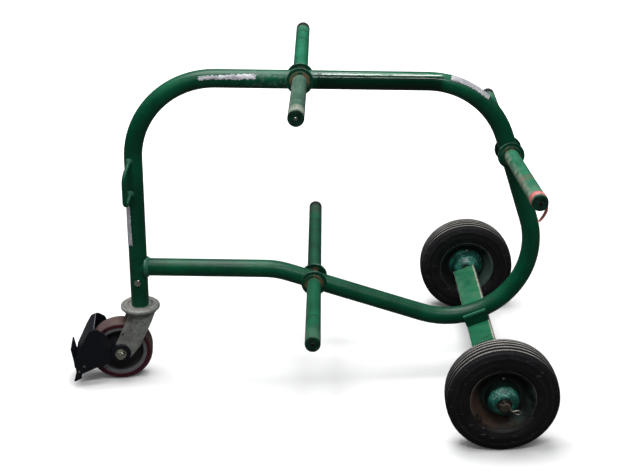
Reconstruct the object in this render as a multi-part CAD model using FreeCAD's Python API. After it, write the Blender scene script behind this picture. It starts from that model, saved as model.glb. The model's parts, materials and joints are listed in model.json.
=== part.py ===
import FreeCAD
import Part
import math
import os
from FreeCAD import Vector

# Wheeled wire reel cart. A single bent tube stands upright as a loop, three pairs of spindles
# cross it to hold reels of wire, and it rolls on a braked swivel caster and two rear wheels.
#
# The cart is drawn upright: the leg's axis is Z, the lower run's axis is X, and the two cross
# at the origin. X runs from the leg to the rear wheels and -Y is the cart's left side. Last of
# all the drawing is tipped by the lean, which puts all three wheels on the floor at Z = 0.

# ---- frame tube -------------------------------------------------------------------------
tube_od = 42.2
tube_wall = 3.2
bend_radius = 192.0
frame_height = 462.6       # lower run's axis to top run's axis
top_corner = 803.7         # X where the axes of the top run and the rear run would meet
rear_rake = 19.4           # degrees the rear run leans from the vertical
lower_corner = 329.7       # X where the lower run starts to fall towards the rear
lower_slope = 17.3         # degrees of that fall
leg_drop = 99.5            # lower run's axis to the leg's open end
fit_gap = 0.15             # fit-up gap left at a welded joint
frame_weld = 5.0           # leg length of the fillet weld at the lower run's end

# ---- pull loop on the leg ---------------------------------------------------------------
pull_rod = 10.0
pull_top = 269.0
pull_span = 78.0
pull_reach = 33.0          # leg's surface to the rod's axis
pull_droop = 41.0          # degrees the arms fall from the leg
pull_turn = 73.0           # degrees from the front towards the left side
pull_bend = 38.0           # upper bend
pull_low_bend = 9.0
pull_root = 8.0            # how far an arm runs into the leg's curve
pull_bead = 4.5            # spread of the bead round the foot of an arm
pull_bead_length = 9.0

# ---- spindles ---------------------------------------------------------------------------
spindle_od = 33.4
spindle_wall = 3.4
spindle_reach = 403.0      # frame tube's axis to the face of the end cap, along the spindle
flange_od = 61.0
flange_thickness = 5.0
collar_od = 45.0
collar_length = 6.0
weld_standoff = 0.3        # flange face to frame tube
cap_thickness = 4.0
cap_plug_length = 16.0
cap_clearance = 0.05
cap_screw_head = 7.0
cap_screw_head_height = 1.8
cap_screw_shank = 3.5
cap_screw_length = 12.0
cap_step = 0.3             # the cap's rim below the spindle's surface
cap_plug_wall = 3.0
cap_groove_radius = 8.0
cap_groove_width = 1.2
cap_groove_depth = 0.8
root_step = 0.4            # the root is turned down this much where the flange sits
root_relief = 1.0          # collar's face to the full-size stretch
spindle_pin = 4.0          # cross pin through the collar and the root
pin_standout = 1.0
top_spindle_at = 381.8     # along the top run, from the front corner
rear_spindle_drop = 175.0  # down the rear run, from the top corner
lower_spindle_run = 94.0   # along the falling run, from its start
top_tilt = 4.0
rear_tilt = 4.0
lower_tilt = 5.0

# ---- tape on the rear spindle's left half -----------------------------------------------
tape_width = 19.0
tape_thickness = 0.35
tape_inset = 9.0           # cap's face to the tape's outer edge
tape_tail = 62.0
tape_tail_width = 12.0
tape_tail_bend = 60.0
tape_tail_drift = 10.0     # how far the tail's end hangs towards the front

# ---- rear cross member and axle ---------------------------------------------------------
member_width = 56.0
member_offset = 7.5        # middle of the member ahead of the axle
member_wall = 3.0
member_clearance = 0.2     # axle to the member's inner walls
member_half = 301.0        # middle of the cart to the face of an end plate
end_plate = 5.0
axle_angle = 23.4          # degrees round the rear bend, from its lowest point
axle_d = 19.0
member_height = axle_d + 2 * (member_wall + member_clearance)
axle_reach = 408.0         # middle of the cart to the axle's end
axle_clearance = 0.1
saddle_thickness = 5.0
saddle_rise = 8.0          # top of the saddle plates above the frame tube's axis
clip_wire = 3.0
clip_inset = 6.0           # axle's end to the clip's axis
clip_turn = 30.0           # degrees the clip points below the horizontal
clip_tail = 5.0            # straight leg's end beyond the axle
clip_straight = 16.0       # straight leg below the axle
clip_eye = 27.4            # axle's surface to the middle of the end loop
clip_over = 0.6            # bowed leg clear of the axle
clip_bend = 3.2
axle_chamfer = 1.2
member_round = 4.0

# ---- rear wheels ------------------------------------------------------------------------
half_track = 350.4
tyre_radius = 122.3
tyre_width = 69.8
tyre_wall = 17.0
tread_width = 56.0
tyre_flare = 22.0          # rim lip to the widest part of the wall
tyre_shoulder = 14.0       # tread to the widest part of the wall
tyre_crown = 2.5           # how far the tread's edges fall
tyre_lip_gap = 0.6
groove_count = 3
groove_width = 2.4
groove_depth = 2.6
rim_lip_radius = 71.6
rim_half_width = 26.0
rim_sheet = 2.4
bead_gap = 0.2
rim_well_radius = 50.0
hub_od = 34.0
hub_half = 38.0
bearing_od = 28.0
bearing_width = 11.0
bearing_running = 0.05
bell_base_radius = 35.0
bell_shoulder_radius = 31.0
bell_mouth_radius = 14.5
bell_height = 46.0         # wheel's middle plane to the bell's mouth
bell_sheet = 2.2
bell_flange = 10.0
bell_seat = 0.1            # rim's disc to the bell's flange
bell_shoulder_drop = 16.0  # bell's mouth to its shoulder
rivet_inset = 3.0          # bell flange's edge to the rivets' circle
rivet_d = 6.0
rivet_shank = 3.6
rivet_head = 1.4
rivet_tail = 1.2
rivet_count = 6
spacer_radius = 13.5
outer_spacer_radius = 13.0
hub_step = 2.0             # the hub tube is this much shorter on the outer side

# ---- swivel caster ----------------------------------------------------------------------
caster_drop = 112.8        # leg's open end to the caster axle
caster_trail = 50.5        # swivel axis to the caster axle
caster_swing = 7.0         # degrees the caster stands swivelled towards the left side
caster_radius = 76.2
caster_width = 46.0
caster_core_radius = 62.0
caster_web_radius = 51.0
caster_hub_radius = 21.0
stem_clearance = 0.3
stem_length = 92.0
stem_bolt_drop = 32.0      # lower run's axis to the stem bolt
stem_bolt_d = 9.5
stem_bolt_across = 14.3
stem_bolt_head = 6.0
stem_nut_height = 8.0
stem_bolt_end = 12.0       # bolt's end beyond the nut's seat
stem_chamfer = 2.5
washer_thickness = 1.6
head_od = 94.0
head_thickness = 7.5
head_rim_rise = 5.5        # leg's open end to the top of the plate's rim
race_gap = 0.4
ball_d = 7.0
ball_count = 18
ball_circle = 29.0
crown_thickness = 6.0
crown_radius = 40.0
fork_sheet = 5.0
fork_gap = 4.0             # caster wheel's face to the fork's leg
fork_width = 63.0
fork_peep = (7.0, 49.0)    # small hole in the left leg, from the caster axle
fork_peep_radius = 3.4
ball_seat = 0.02
king_d = 16.0
king_nut_across = 24.0
king_nut_height = 7.5
king_thread = 9.0          # king pin's end below the crown
caster_axle_d = 12.7
caster_nut_across = 19.0
caster_nut_height = 10.5
caster_bolt_head = 8.0
caster_bolt_end = 13.0     # bolt's end beyond the nut's seat
caster_washer_radius = 13.5
caster_web = 7.0           # half thickness of the core's web
bearing_wall = 4.0
sleeve_od = 18.0
side_clearance = 0.4

# ---- brake ------------------------------------------------------------------------------
brake_sheet = 3.2
brake_boss_radius = 24.0
brake_boss_height = 2.0
brake_half_width = 45.0    # middle of the hood to the inside of a cheek, in front
brake_joggle_start = 24.0  # axle to where a cheek starts to spread outwards
brake_joggle_end = 42.0
brake_tread_gap = 5.0
shoe_width = 30.0
pedal_half_width = 33.0
brake_bush_wall = 3.5
brake_pin = 5.2
brake_pin_standout = 1.4
brake_pin_spots = ((-101, -38), (-88, -24))
# Outlines from the caster axle, each corner as x, z and its rounding.
# A cheek is a hump over the tread with a nose and a toe in front.
cheek_outline = (
    (20, 12, 12), (-8, 22, 10), (-24, 30, 14), (-38, 62, 10), (-56, 73, 12), (-72, 67, 10),
    (-84.5, 45, 30), (-110.3, -10, 12), (-108, -40, 8), (-115.5, -66, 2), (-96, -57, 2),
    (-95, -45, 6), (-60, -30, 20), (-22, -19, 16), (20, -12, 12))
hood_outline = (
    (-62, 70.3, 0), (-72, 66.5, 8), (-84.3, 45, 30), (-110, -10, 10), (-108.2, -36, 0),
    (-105, -36, 0), (-103.8, -10.5, 8), (-81.3, 44, 28), (-69.5, 63.5, 5), (-60.9, 67.3, 0))
pedal_outline = (
    (-110.6, -12, 0), (-108.9, -36, 0), (-112.6, -36, 0), (-114.6, -14, 8), (-119.8, 15, 1),
    (-116.4, 16.5, 1), (-112, -6, 5))
shoe_outline = ((-71.2, 60.4, 0), (-80.5, 45, 0), (-73, 35, 0), (-60, 53, 3))
toe_reach = (-115, -65)    # lowest front point of the hood

tube_radius = tube_od / 2
spindle_radius = spindle_od / 2
axle_radius = axle_d / 2
member_half_height = member_height / 2
along = Vector(1, 0, 0)
across = Vector(0, 1, 0)
up = Vector(0, 0, 1)
left = Vector(0, -1, 0)
right = Vector(0, 1, 0)
sides = (("left", left), ("right", right))
past_everything = 200.0    # length of a cut that has to run right through


def at(x, z, y=0.0):
    return Vector(x, y, z)


def rod(radius, start, end):
    return Part.makeCylinder(radius, (end - start).Length, start, end - start)


def sleeve(outer, inner, start, end):
    """A round tube between two points, its inner hole cut right through."""
    return rod(outer, start, end).cut(rod(inner, start, end))


def bent_path(corners, bends):
    """Straight runs through the corners, each inner corner rounded by a tangent arc.

    bends is one radius for every inner corner, or a tuple with a radius for each."""
    if not isinstance(bends, tuple):
        bends = (bends,) * (len(corners) - 2)
    edges = []
    here = corners[0]
    for before, corner, after, radius in zip(corners, corners[1:], corners[2:], bends):
        back = (before - corner).normalize()
        ahead = (after - corner).normalize()
        turn = math.pi - back.getAngle(ahead)
        reach = radius * math.tan(turn / 2)
        first = corner + back * reach
        last = corner + ahead * reach
        bisector = (back + ahead).normalize()
        centre = corner + bisector * (radius / math.cos(turn / 2))
        edges.append(Part.LineSegment(here, first).toShape())
        edges.append(Part.Arc(first, centre - bisector * radius, last).toShape())
        here = last
    edges.append(Part.LineSegment(here, corners[-1]).toShape())
    return Part.Wire(edges)


def bar(corners, bends, radius):
    """A round bar that follows a bent path."""
    path = bent_path(corners, bends)
    ring = Part.Wire(Part.makeCircle(radius, corners[0], corners[1] - corners[0]))
    return path.makePipeShell([ring], True, False)


def outline(points):
    """A face in the XZ plane through (x, z, corner radius) points."""
    count = len(points)
    starts = []
    ends = []
    middles = []
    for index, (x, z, radius) in enumerate(points):
        corner = at(x, z)
        back = at(*points[index - 1][:2]) - corner
        ahead = at(*points[(index + 1) % count][:2]) - corner
        back.normalize()
        ahead.normalize()
        turn = math.pi - back.getAngle(ahead)
        reach = radius * math.tan(turn / 2)
        starts.append(corner + back * reach)
        ends.append(corner + ahead * reach)
        bisector = back + ahead
        if radius:
            bisector.normalize()
        middles.append(corner + bisector * (radius / math.cos(turn / 2) - radius))
    edges = []
    for index in range(count):
        if points[index][2]:
            edges.append(Part.Arc(starts[index], middles[index], ends[index]).toShape())
        following = starts[(index + 1) % count]
        if (following - ends[index]).Length > 1e-6:
            edges.append(Part.LineSegment(ends[index], following).toShape())
    return Part.Face(Part.Wire(edges))


def turned(points, centre, axis):
    """A solid of revolution: points are (radius, distance along the axis, corner radius)."""
    shape = outline(points).revolve(Vector(0, 0, 0), up, 360)
    shape.Placement = FreeCAD.Placement(centre, FreeCAD.Rotation(up, axis))
    return shape


def plate(points, start, end):
    """A flat plate whose outline lies in the XZ plane, between two distances across."""
    face = outline(points)
    face.translate(across * start)
    return face.extrude(across * (end - start))


def box(centre, length, width, height, tilt=0.0):
    """A box centred on a point, turned by a tilt about the cross axis."""
    corner = centre - Vector(length / 2, width / 2, height / 2)
    shape = Part.makeBox(length, width, height, corner)
    shape.rotate(centre, across, -tilt)
    return shape


def hexagon(across_flats, start, end):
    """A hexagonal prism between two points, its corners chamfered at the far end."""
    axis = (end - start).normalize()
    seed = up if abs(axis.dot(up)) < 0.9 else along
    side = axis.cross(seed).normalize()
    corner_radius = across_flats / math.sqrt(3)
    corners = []
    for step in range(7):
        turn = FreeCAD.Rotation(axis, 60 * step + 15)
        corners.append(start + turn.multVec(side * corner_radius))
    prism = Part.Face(Part.makePolygon(corners)).extrude(end - start)
    height = (end - start).Length
    chamfer = corner_radius - across_flats / 2
    cone = Part.makeCone(
        corner_radius + height, corner_radius - chamfer, height + chamfer, start - axis * chamfer,
        axis)
    return prism.common(cone)


# ---- places worked out from the sizes ---------------------------------------------------
rake = math.radians(rear_rake)
slope = math.radians(lower_slope)
rear_down = at(math.sin(rake), -math.cos(rake))
slope_back = at(math.cos(slope), -math.sin(slope))
front_top = at(0, frame_height)
rear_top = at(top_corner, frame_height)
lower_bend = at(lower_corner, 0)
# where the rear run and the falling lower run would meet
gap_to_meet = lower_bend - rear_top
meet = (gap_to_meet.x * slope_back.z - gap_to_meet.z * slope_back.x) / (
    rear_down.x * slope_back.z - rear_down.z * slope_back.x)
rear_corner = rear_top + rear_down * meet
inward = ((rear_top - rear_corner).normalize() + (lower_bend - rear_corner).normalize()).normalize()
half_corner = (rear_top - rear_corner).getAngle(lower_bend - rear_corner) / 2
rear_bend = rear_corner + inward * (bend_radius / math.sin(half_corner))

axle_turn = math.radians(axle_angle)
bend_normal = at(math.sin(axle_turn), -math.cos(axle_turn))
axle_at = rear_bend + bend_normal * (
    bend_radius + tube_radius + weld_standoff + member_half_height)
member_at = axle_at - at(math.cos(axle_turn), math.sin(axle_turn)) * member_offset
leg_end = at(0, -leg_drop)
caster_at = leg_end + at(-caster_trail, -caster_drop)


def spindle_axis(side, tilt):
    lift = math.radians(tilt)
    return side * math.cos(lift) + up * math.sin(lift)


spindle_seats = {
    "top": (at(top_spindle_at, frame_height), along, top_tilt),
    "rear": (rear_top + rear_down * rear_spindle_drop, rear_down, rear_tilt),
    "lower": (lower_bend + slope_back * lower_spindle_run, slope_back, lower_tilt),
}


def flange_seat(axis, run):
    """Distance along the spindle at which the tilted flange just clears the frame tube."""
    lean_in = flange_od / 2 * abs(axis.dot(run))
    return (tube_radius + weld_standoff + lean_in) / abs(axis.y)


parts = {}


def frame_pipe(radius):
    """The whole loop at one radius, its last run ending short of the leg."""
    corners = [leg_end, front_top, rear_top, rear_corner, lower_bend, at(2 * tube_od, 0)]
    loop = bar(corners, bend_radius, radius)
    last_run = rod(radius, at(2 * tube_od, 0), at(0, 0))
    last_run = last_run.cut(rod(tube_radius + fit_gap, leg_end, front_top))
    return loop.fuse(last_run)


def build_frame():
    outer = frame_pipe(tube_radius)
    inner = frame_pipe(tube_radius - tube_wall)
    opening = rod(tube_radius - tube_wall, leg_end - up, leg_end + up)
    tube = outer.cut(inner).cut(opening).removeSplitter()
    bolt_at = at(0, -stem_bolt_drop)
    bolt_hole = rod(
        stem_bolt_d / 2 + axle_clearance, bolt_at + left * tube_od, bolt_at + right * tube_od)
    parts["frame_tube"] = tube.cut(bolt_hole)
    bead_bore = tube_radius + cap_clearance
    weld_root = tube_radius - frame_weld
    weld_end = tube_radius + fit_gap + frame_weld
    bead = turned(
        [(bead_bore, weld_root, 0), (tube_radius + frame_weld, weld_root, 0),
         (tube_radius + frame_weld, tube_radius - 1, 0), (tube_radius + 1, weld_end, 2),
         (bead_bore, weld_end, 0)],
        at(0, 0), along)
    return bead.cut(rod(bead_bore, leg_end, front_top))


def build_pull_loop():
    """A rod bent to a loop, both arms falling away from the leg."""
    turn = math.radians(pull_turn)
    outward = Vector(-math.cos(turn), -math.sin(turn), 0)
    fall = up * (-pull_reach * math.tan(math.radians(pull_droop)))
    arm = outward * pull_reach + fall
    root = outward * tube_radius
    top_root = root + up * pull_top
    low_root = top_root - up * pull_span
    into_leg = arm * (-pull_root / pull_reach)
    corners = [top_root + into_leg, top_root + arm, low_root + arm, low_root + into_leg]
    leg = rod(tube_radius + fit_gap, leg_end, front_top)
    bends = (pull_bend, pull_low_bend)
    loop = bar(corners, bends, pull_rod / 2).cut(leg)
    parts["pull_loop"] = loop
    direction = arm * (1 / arm.Length)
    loop_path = bar(corners, bends, pull_rod / 2 + cap_clearance)
    leg_skin = rod(tube_radius + cap_clearance, leg_end, front_top)
    beads = []
    for end in (top_root, low_root):
        bead = Part.makeCone(
            pull_rod / 2 + pull_bead, pull_rod / 2 + 0.6, pull_bead_length,
            end - direction * (pull_root / 2), direction)
        beads.append(bead.cut(loop_path).cut(leg_skin))
    return beads


def build_spindles():
    bore = spindle_radius - spindle_wall
    root_radius = spindle_radius - root_step
    pins = []
    screws = []
    caps = []
    for name, (seat, run, tilt) in spindle_seats.items():
        frame_clear = rod(
            tube_radius + fit_gap, seat - run * past_everything / 2, seat + run * past_everything / 2)
        flanges = []
        for side_name, side in sides:
            axis = spindle_axis(side, tilt)
            lift = axis.cross(along)
            if lift.z < 0:
                lift = -lift
            flange_start = flange_seat(axis, run)
            flange_face = flange_start + flange_thickness
            collar_end = flange_face + collar_length
            shoulder = seat + axis * (collar_end + root_relief)
            cap_seat = seat + axis * (spindle_reach - cap_thickness)
            tube = sleeve(root_radius, bore, seat, shoulder).fuse(
                sleeve(spindle_radius, bore, shoulder, cap_seat)).cut(frame_clear)
            pin_at = seat + axis * (flange_face + collar_length / 2)
            pin_low = pin_at - lift * (collar_od / 2 + pin_standout)
            pin_high = pin_at + lift * (collar_od / 2 + pin_standout)
            pin_hole = rod(spindle_pin / 2 + cap_clearance, pin_low, pin_high)
            parts["%s_spindle_%s" % (name, side_name)] = tube.cut(pin_hole)
            pins.append(rod(spindle_pin / 2, pin_low, pin_high))
            inside = root_radius + cap_clearance
            flange = turned(
                [(inside, flange_start, 0), (flange_od / 2, flange_start, 1.2),
                 (flange_od / 2, flange_face, 1.2), (collar_od / 2, flange_face, 0.5),
                 (collar_od / 2, collar_end, 0.8), (inside, collar_end, 0)],
                seat, axis)
            flanges.append(flange.cut(pin_hole))
            caps.append(spindle_cap(seat, axis, bore))
            screws.append(cap_screw(seat, axis))
        parts["%s_flanges" % name] = Part.makeCompound(flanges)
    parts["spindle_caps"] = Part.makeCompound(caps)
    parts["spindle_pins"] = Part.makeCompound(pins)
    parts["cap_screws"] = Part.makeCompound(screws)


def spindle_cap(seat, axis, bore):
    """A cap with a hollow plug inside the spindle and a ring groove on its face."""
    plug = bore - cap_clearance
    rim = spindle_radius - cap_step
    screw_hole = cap_screw_shank / 2 + cap_clearance
    shelf = spindle_reach - cap_thickness
    plug_end = shelf - cap_plug_length
    cap = turned(
        [(screw_hole, spindle_reach, 0), (rim, spindle_reach, 1.2), (rim, shelf, 0),
         (plug, shelf, 0), (plug, plug_end, 1.0), (plug - cap_plug_wall, plug_end, 0),
         (plug - cap_plug_wall, shelf, 0), (screw_hole, shelf, 0)],
        seat, axis)
    face = seat + axis * spindle_reach
    ring = sleeve(
        cap_groove_radius + cap_groove_width, cap_groove_radius,
        face - axis * cap_groove_depth, face + axis)
    return cap.cut(ring)


def cap_screw(seat, axis):
    """A round-headed screw in the middle of a cap."""
    head_top = spindle_reach + cap_screw_head_height
    shank_end = spindle_reach - cap_screw_length
    return turned(
        [(0, head_top, 0), (cap_screw_head / 2, head_top, 1.2),
         (cap_screw_head / 2, spindle_reach, 0), (cap_screw_shank / 2, spindle_reach, 0),
         (cap_screw_shank / 2, shank_end, 0), (0, shank_end, 0)],
        seat, axis)


def build_tape():
    """A band of tape round the rear spindle, its loose end hanging from the underside."""
    seat, run, tilt = spindle_seats["rear"]
    axis = spindle_axis(left, tilt)
    outer_edge = spindle_reach - tape_inset
    inside = spindle_radius + cap_clearance
    band = sleeve(
        inside + tape_thickness, inside, seat + axis * (outer_edge - tape_width),
        seat + axis * outer_edge)
    middle = seat + axis * (outer_edge - tape_width / 2)
    radius = inside + tape_thickness
    start = middle + along * (radius - tape_thickness) - up * 2
    path = [start, start - up * (tape_tail * 0.45) + along * 0.5,
            start - up * (tape_tail * 0.95) - along * tape_tail_drift]
    half = axis * (tape_tail_width / 2)
    wire = bent_path(path, tape_tail_bend)
    thickness = along * tape_thickness
    strip = Part.Wire(Part.makePolygon(
        [start - half, start + half, start + half + thickness, start - half + thickness,
         start - half]))
    tail = wire.makePipeShell([strip], True, True)
    parts["tape_band"] = band.fuse(tail).removeSplitter()


def build_rear_axle():
    half = member_half
    length = 2 * (half - end_plate)
    tilt = axle_angle
    member = box(member_at, member_width, length, member_height, tilt)
    hollow = box(
        member_at, member_width - 2 * member_wall, length + 2, member_height - 2 * member_wall, tilt)
    edges = [edge for edge in member.Edges if abs(edge.Length - length) < 0.01]
    member = member.makeFillet(member_round, edges).cut(hollow)
    parts["cross_member"] = member
    bore = rod(axle_radius + axle_clearance, axle_at + left * axle_reach, axle_at + right * axle_reach)
    end_plates = []
    for side in (left, right):
        middle = member_at + side * (half - end_plate / 2)
        end_plates.append(box(middle, member_width, end_plate, member_height, tilt).cut(bore))
    parts["member_end_plates"] = Part.makeCompound(end_plates)

    axle = rod(axle_radius, axle_at + left * axle_reach, axle_at + right * axle_reach)
    edges = [edge for edge in axle.Edges if edge.Curve.TypeId == "Part::GeomCircle"]
    axle = axle.makeChamfer(axle_chamfer, edges)
    clips = []
    for side in (left, right):
        middle = axle_at + side * (axle_reach - clip_inset)
        clip_down = at(math.cos(math.radians(clip_turn)), -math.sin(math.radians(clip_turn)))
        hole = rod(
            clip_wire / 2 + axle_clearance, middle - clip_down * axle_d, middle + clip_down * axle_d)
        axle = axle.cut(hole)
        clips.append(hairpin(middle, clip_down, side))
    parts["axle"] = axle
    parts["hairpin_clips"] = Part.makeCompound(clips)

    plates = []
    seat = member_at - bend_normal * (tube_radius + weld_standoff + member_half_height)
    face = tube_radius + weld_standoff
    for side in (left, right):
        middle = seat + bend_normal * ((face - saddle_rise) / 2)
        middle = middle + side * (face + saddle_thickness / 2)
        plates.append(box(middle, member_width, saddle_thickness, face + saddle_rise, tilt))
    parts["saddle_plates"] = Part.makeCompound(plates)


def hairpin(middle, down, side):
    """A wire hairpin: its straight leg through the axle, its bowed leg over the axle's end."""
    sideways = down.cross(side)
    over = axle_radius + clip_wire + clip_over
    eye = axle_radius + clip_eye
    line = [
        (-axle_radius - clip_tail, 0), (axle_radius + clip_straight, 0), (eye + 5, 6), (eye, 13),
        (axle_radius + 8, 7), (3, over), (-4, over), (-axle_radius - 1, axle_radius - 0.5)]
    corners = [middle + down * reach + sideways * aside for reach, aside in line]
    return bar(corners, clip_bend, clip_wire / 2)


def tyre(centre, axis):
    """A semi-pneumatic tyre: ribbed tread, bulging walls, hollow inside, seated in the rim."""
    half = tyre_width / 2
    shoulder = tread_width / 2
    seat = rim_half_width - rim_sheet - bead_gap
    rim_low = rim_well_radius + rim_sheet
    rim_high = rim_lip_radius - rim_sheet
    slope = (rim_high - rim_low) / (rim_half_width - rim_sheet - cap_clearance)
    well = rim_low + bead_gap - slope * cap_clearance
    bead = rim_high + bead_gap - slope * bead_gap
    lip = rim_lip_radius
    crown = tyre_radius - tyre_crown
    widest_low = lip + tyre_flare
    widest_high = tyre_radius - tyre_shoulder
    face = outline([
        (well, 0, 3), (bead, -seat, 6), (lip + tyre_lip_gap, -seat, 0), (lip + 4, -half + 5, 5),
        (widest_low, -half, 14), (widest_high, -half, 10), (crown, -shoulder, 4),
        (tyre_radius, -shoulder + 8, 16), (tyre_radius, shoulder - 8, 16), (crown, shoulder, 4),
        (widest_high, half, 10), (widest_low, half, 14), (lip + 4, half - 5, 5),
        (lip + tyre_lip_gap, seat, 0), (bead, seat, 6)])
    body = face.revolve(Vector(0, 0, 0), up, 360)
    cavity_low = lip + 8
    cavity_high = tyre_radius - tyre_wall
    cavity = outline([
        (cavity_low, -half + tyre_wall, 8), (cavity_high, -half + tyre_wall, 8),
        (cavity_high, half - tyre_wall, 8), (cavity_low, half - tyre_wall, 8)])
    body = body.cut(cavity.revolve(Vector(0, 0, 0), up, 360))
    pitch = tread_width / (groove_count + 1)
    for index in range(groove_count):
        middle = (index - (groove_count - 1) / 2) * pitch
        groove = outline([
            (tyre_radius - groove_depth, middle - groove_width / 2, 0.6),
            (tyre_radius + 2, middle - groove_width, 0), (tyre_radius + 2, middle + groove_width, 0),
            (tyre_radius - groove_depth, middle + groove_width / 2, 0.6)])
        body = body.cut(groove.revolve(Vector(0, 0, 0), up, 360))
    body.Placement = FreeCAD.Placement(centre, FreeCAD.Rotation(up, axis))
    return body


def rim_half(centre, axis):
    """A stamped rim half: rolled lip, bead seat and well, then the disc down to the hub."""
    sheet = rim_sheet
    well = rim_well_radius
    lip = rim_lip_radius
    bore = hub_od / 2 + cap_clearance
    out = rim_half_width
    return turned(
        [(bore, cap_clearance, 0), (well + sheet, cap_clearance, 3), (lip - sheet, out - sheet, 4),
         (lip, out - sheet, 1.0), (lip, out, 1.0), (lip - 2.2 * sheet, out, 4),
         (well, sheet + cap_clearance, 6), (bore, sheet + cap_clearance, 0)],
        centre, axis)


def bell(centre, axis):
    """A domed hub cover, open at its mouth for the axle."""
    sheet = bell_sheet
    foot = rim_sheet + bell_seat
    base = bell_base_radius
    flange = base + bell_flange
    shoulder = bell_height - bell_shoulder_drop
    return turned(
        [(base - 1, foot, 0), (flange, foot, 0.8), (flange, foot + sheet, 0.8),
         (base + sheet, foot + sheet, 2),
         (bell_shoulder_radius + sheet, shoulder, 8), (bell_mouth_radius + 6, bell_height, 9),
         (bell_mouth_radius, bell_height, 0.8), (bell_mouth_radius, bell_height - sheet, 0.8),
         (bell_mouth_radius + 5, bell_height - sheet, 7), (bell_shoulder_radius, shoulder, 6),
         (base - 1, foot + 4, 2)],
        centre, axis)


def rivet_button(seat, height, rounding, spot, axis):
    """The round end of a rivet, standing on its seat."""
    edge = rivet_d / 2
    return turned(
        [(0, seat, 0), (edge, seat, 0), (edge, seat + height, rounding), (0, seat + height, 0)],
        spot, axis)


def build_rear_wheels():
    spacers = []
    for side_name, side in sides:
        centre = axle_at + side * half_track
        parts["tyre_%s" % side_name] = tyre(centre, side)
        outer = rim_half(centre, side)
        inner = rim_half(centre, -side)
        hub = sleeve(
            hub_od / 2, bearing_od / 2 + cap_clearance, centre - side * hub_half,
            centre + side * (hub_half - hub_step))
        parts["rim_outer_%s" % side_name] = outer
        parts["rim_inner_%s" % side_name] = inner
        parts["hub_tube_%s" % side_name] = hub
        covers = {"outer": bell(centre, side), "inner": bell(centre, -side)}
        rivets = []
        for index in range(rivet_count):
            turn = FreeCAD.Rotation(across, 360.0 / rivet_count * index)
            spot = centre + turn.multVec(up) * (bell_base_radius + bell_flange - rivet_inset)
            outside = rim_sheet + bell_seat + bell_sheet
            shank_low = spot - side * outside
            shank_high = spot + side * outside
            hole = rod(rivet_shank / 2 + cap_clearance, shank_low - side, shank_high + side)
            covers = {place: cover.cut(hole) for place, cover in covers.items()}
            parts["rim_outer_%s" % side_name] = parts["rim_outer_%s" % side_name].cut(hole)
            parts["rim_inner_%s" % side_name] = parts["rim_inner_%s" % side_name].cut(hole)
            shank = rod(rivet_shank / 2, shank_low, shank_high)
            head = rivet_button(outside, rivet_head, 1.0, spot, side)
            tail = rivet_button(outside, rivet_tail, 0.8, spot, -side)
            rivets.append(shank.fuse([head, tail]).removeSplitter())
        parts["hub_bells_%s" % side_name] = Part.makeCompound(list(covers.values()))
        parts["hub_rivets_%s" % side_name] = Part.makeCompound(rivets)
        bearings = []
        for end, direction in ((hub_half - hub_step, side), (hub_half, -side)):
            face = centre + direction * end
            race = sleeve(
                bearing_od / 2, axle_radius + bearing_running, face - direction * bearing_width, face)
            bearings.append(race)
        parts["wheel_bearings_%s" % side_name] = Part.makeCompound(bearings)
        inner_face = axle_at + side * member_half
        hub_inner = centre - side * (hub_half + side_clearance)
        axle_bore = axle_radius + axle_clearance
        spacers.append(sleeve(spacer_radius, axle_bore, inner_face, hub_inner))
        hub_outer = centre + side * (hub_half - hub_step + side_clearance)
        clip_face = axle_at + side * (axle_reach - clip_inset - clip_wire / 2 - side_clearance)
        spacers.append(sleeve(outer_spacer_radius, axle_bore, hub_outer, clip_face))
    parts["axle_spacers"] = Part.makeCompound(spacers)


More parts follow.
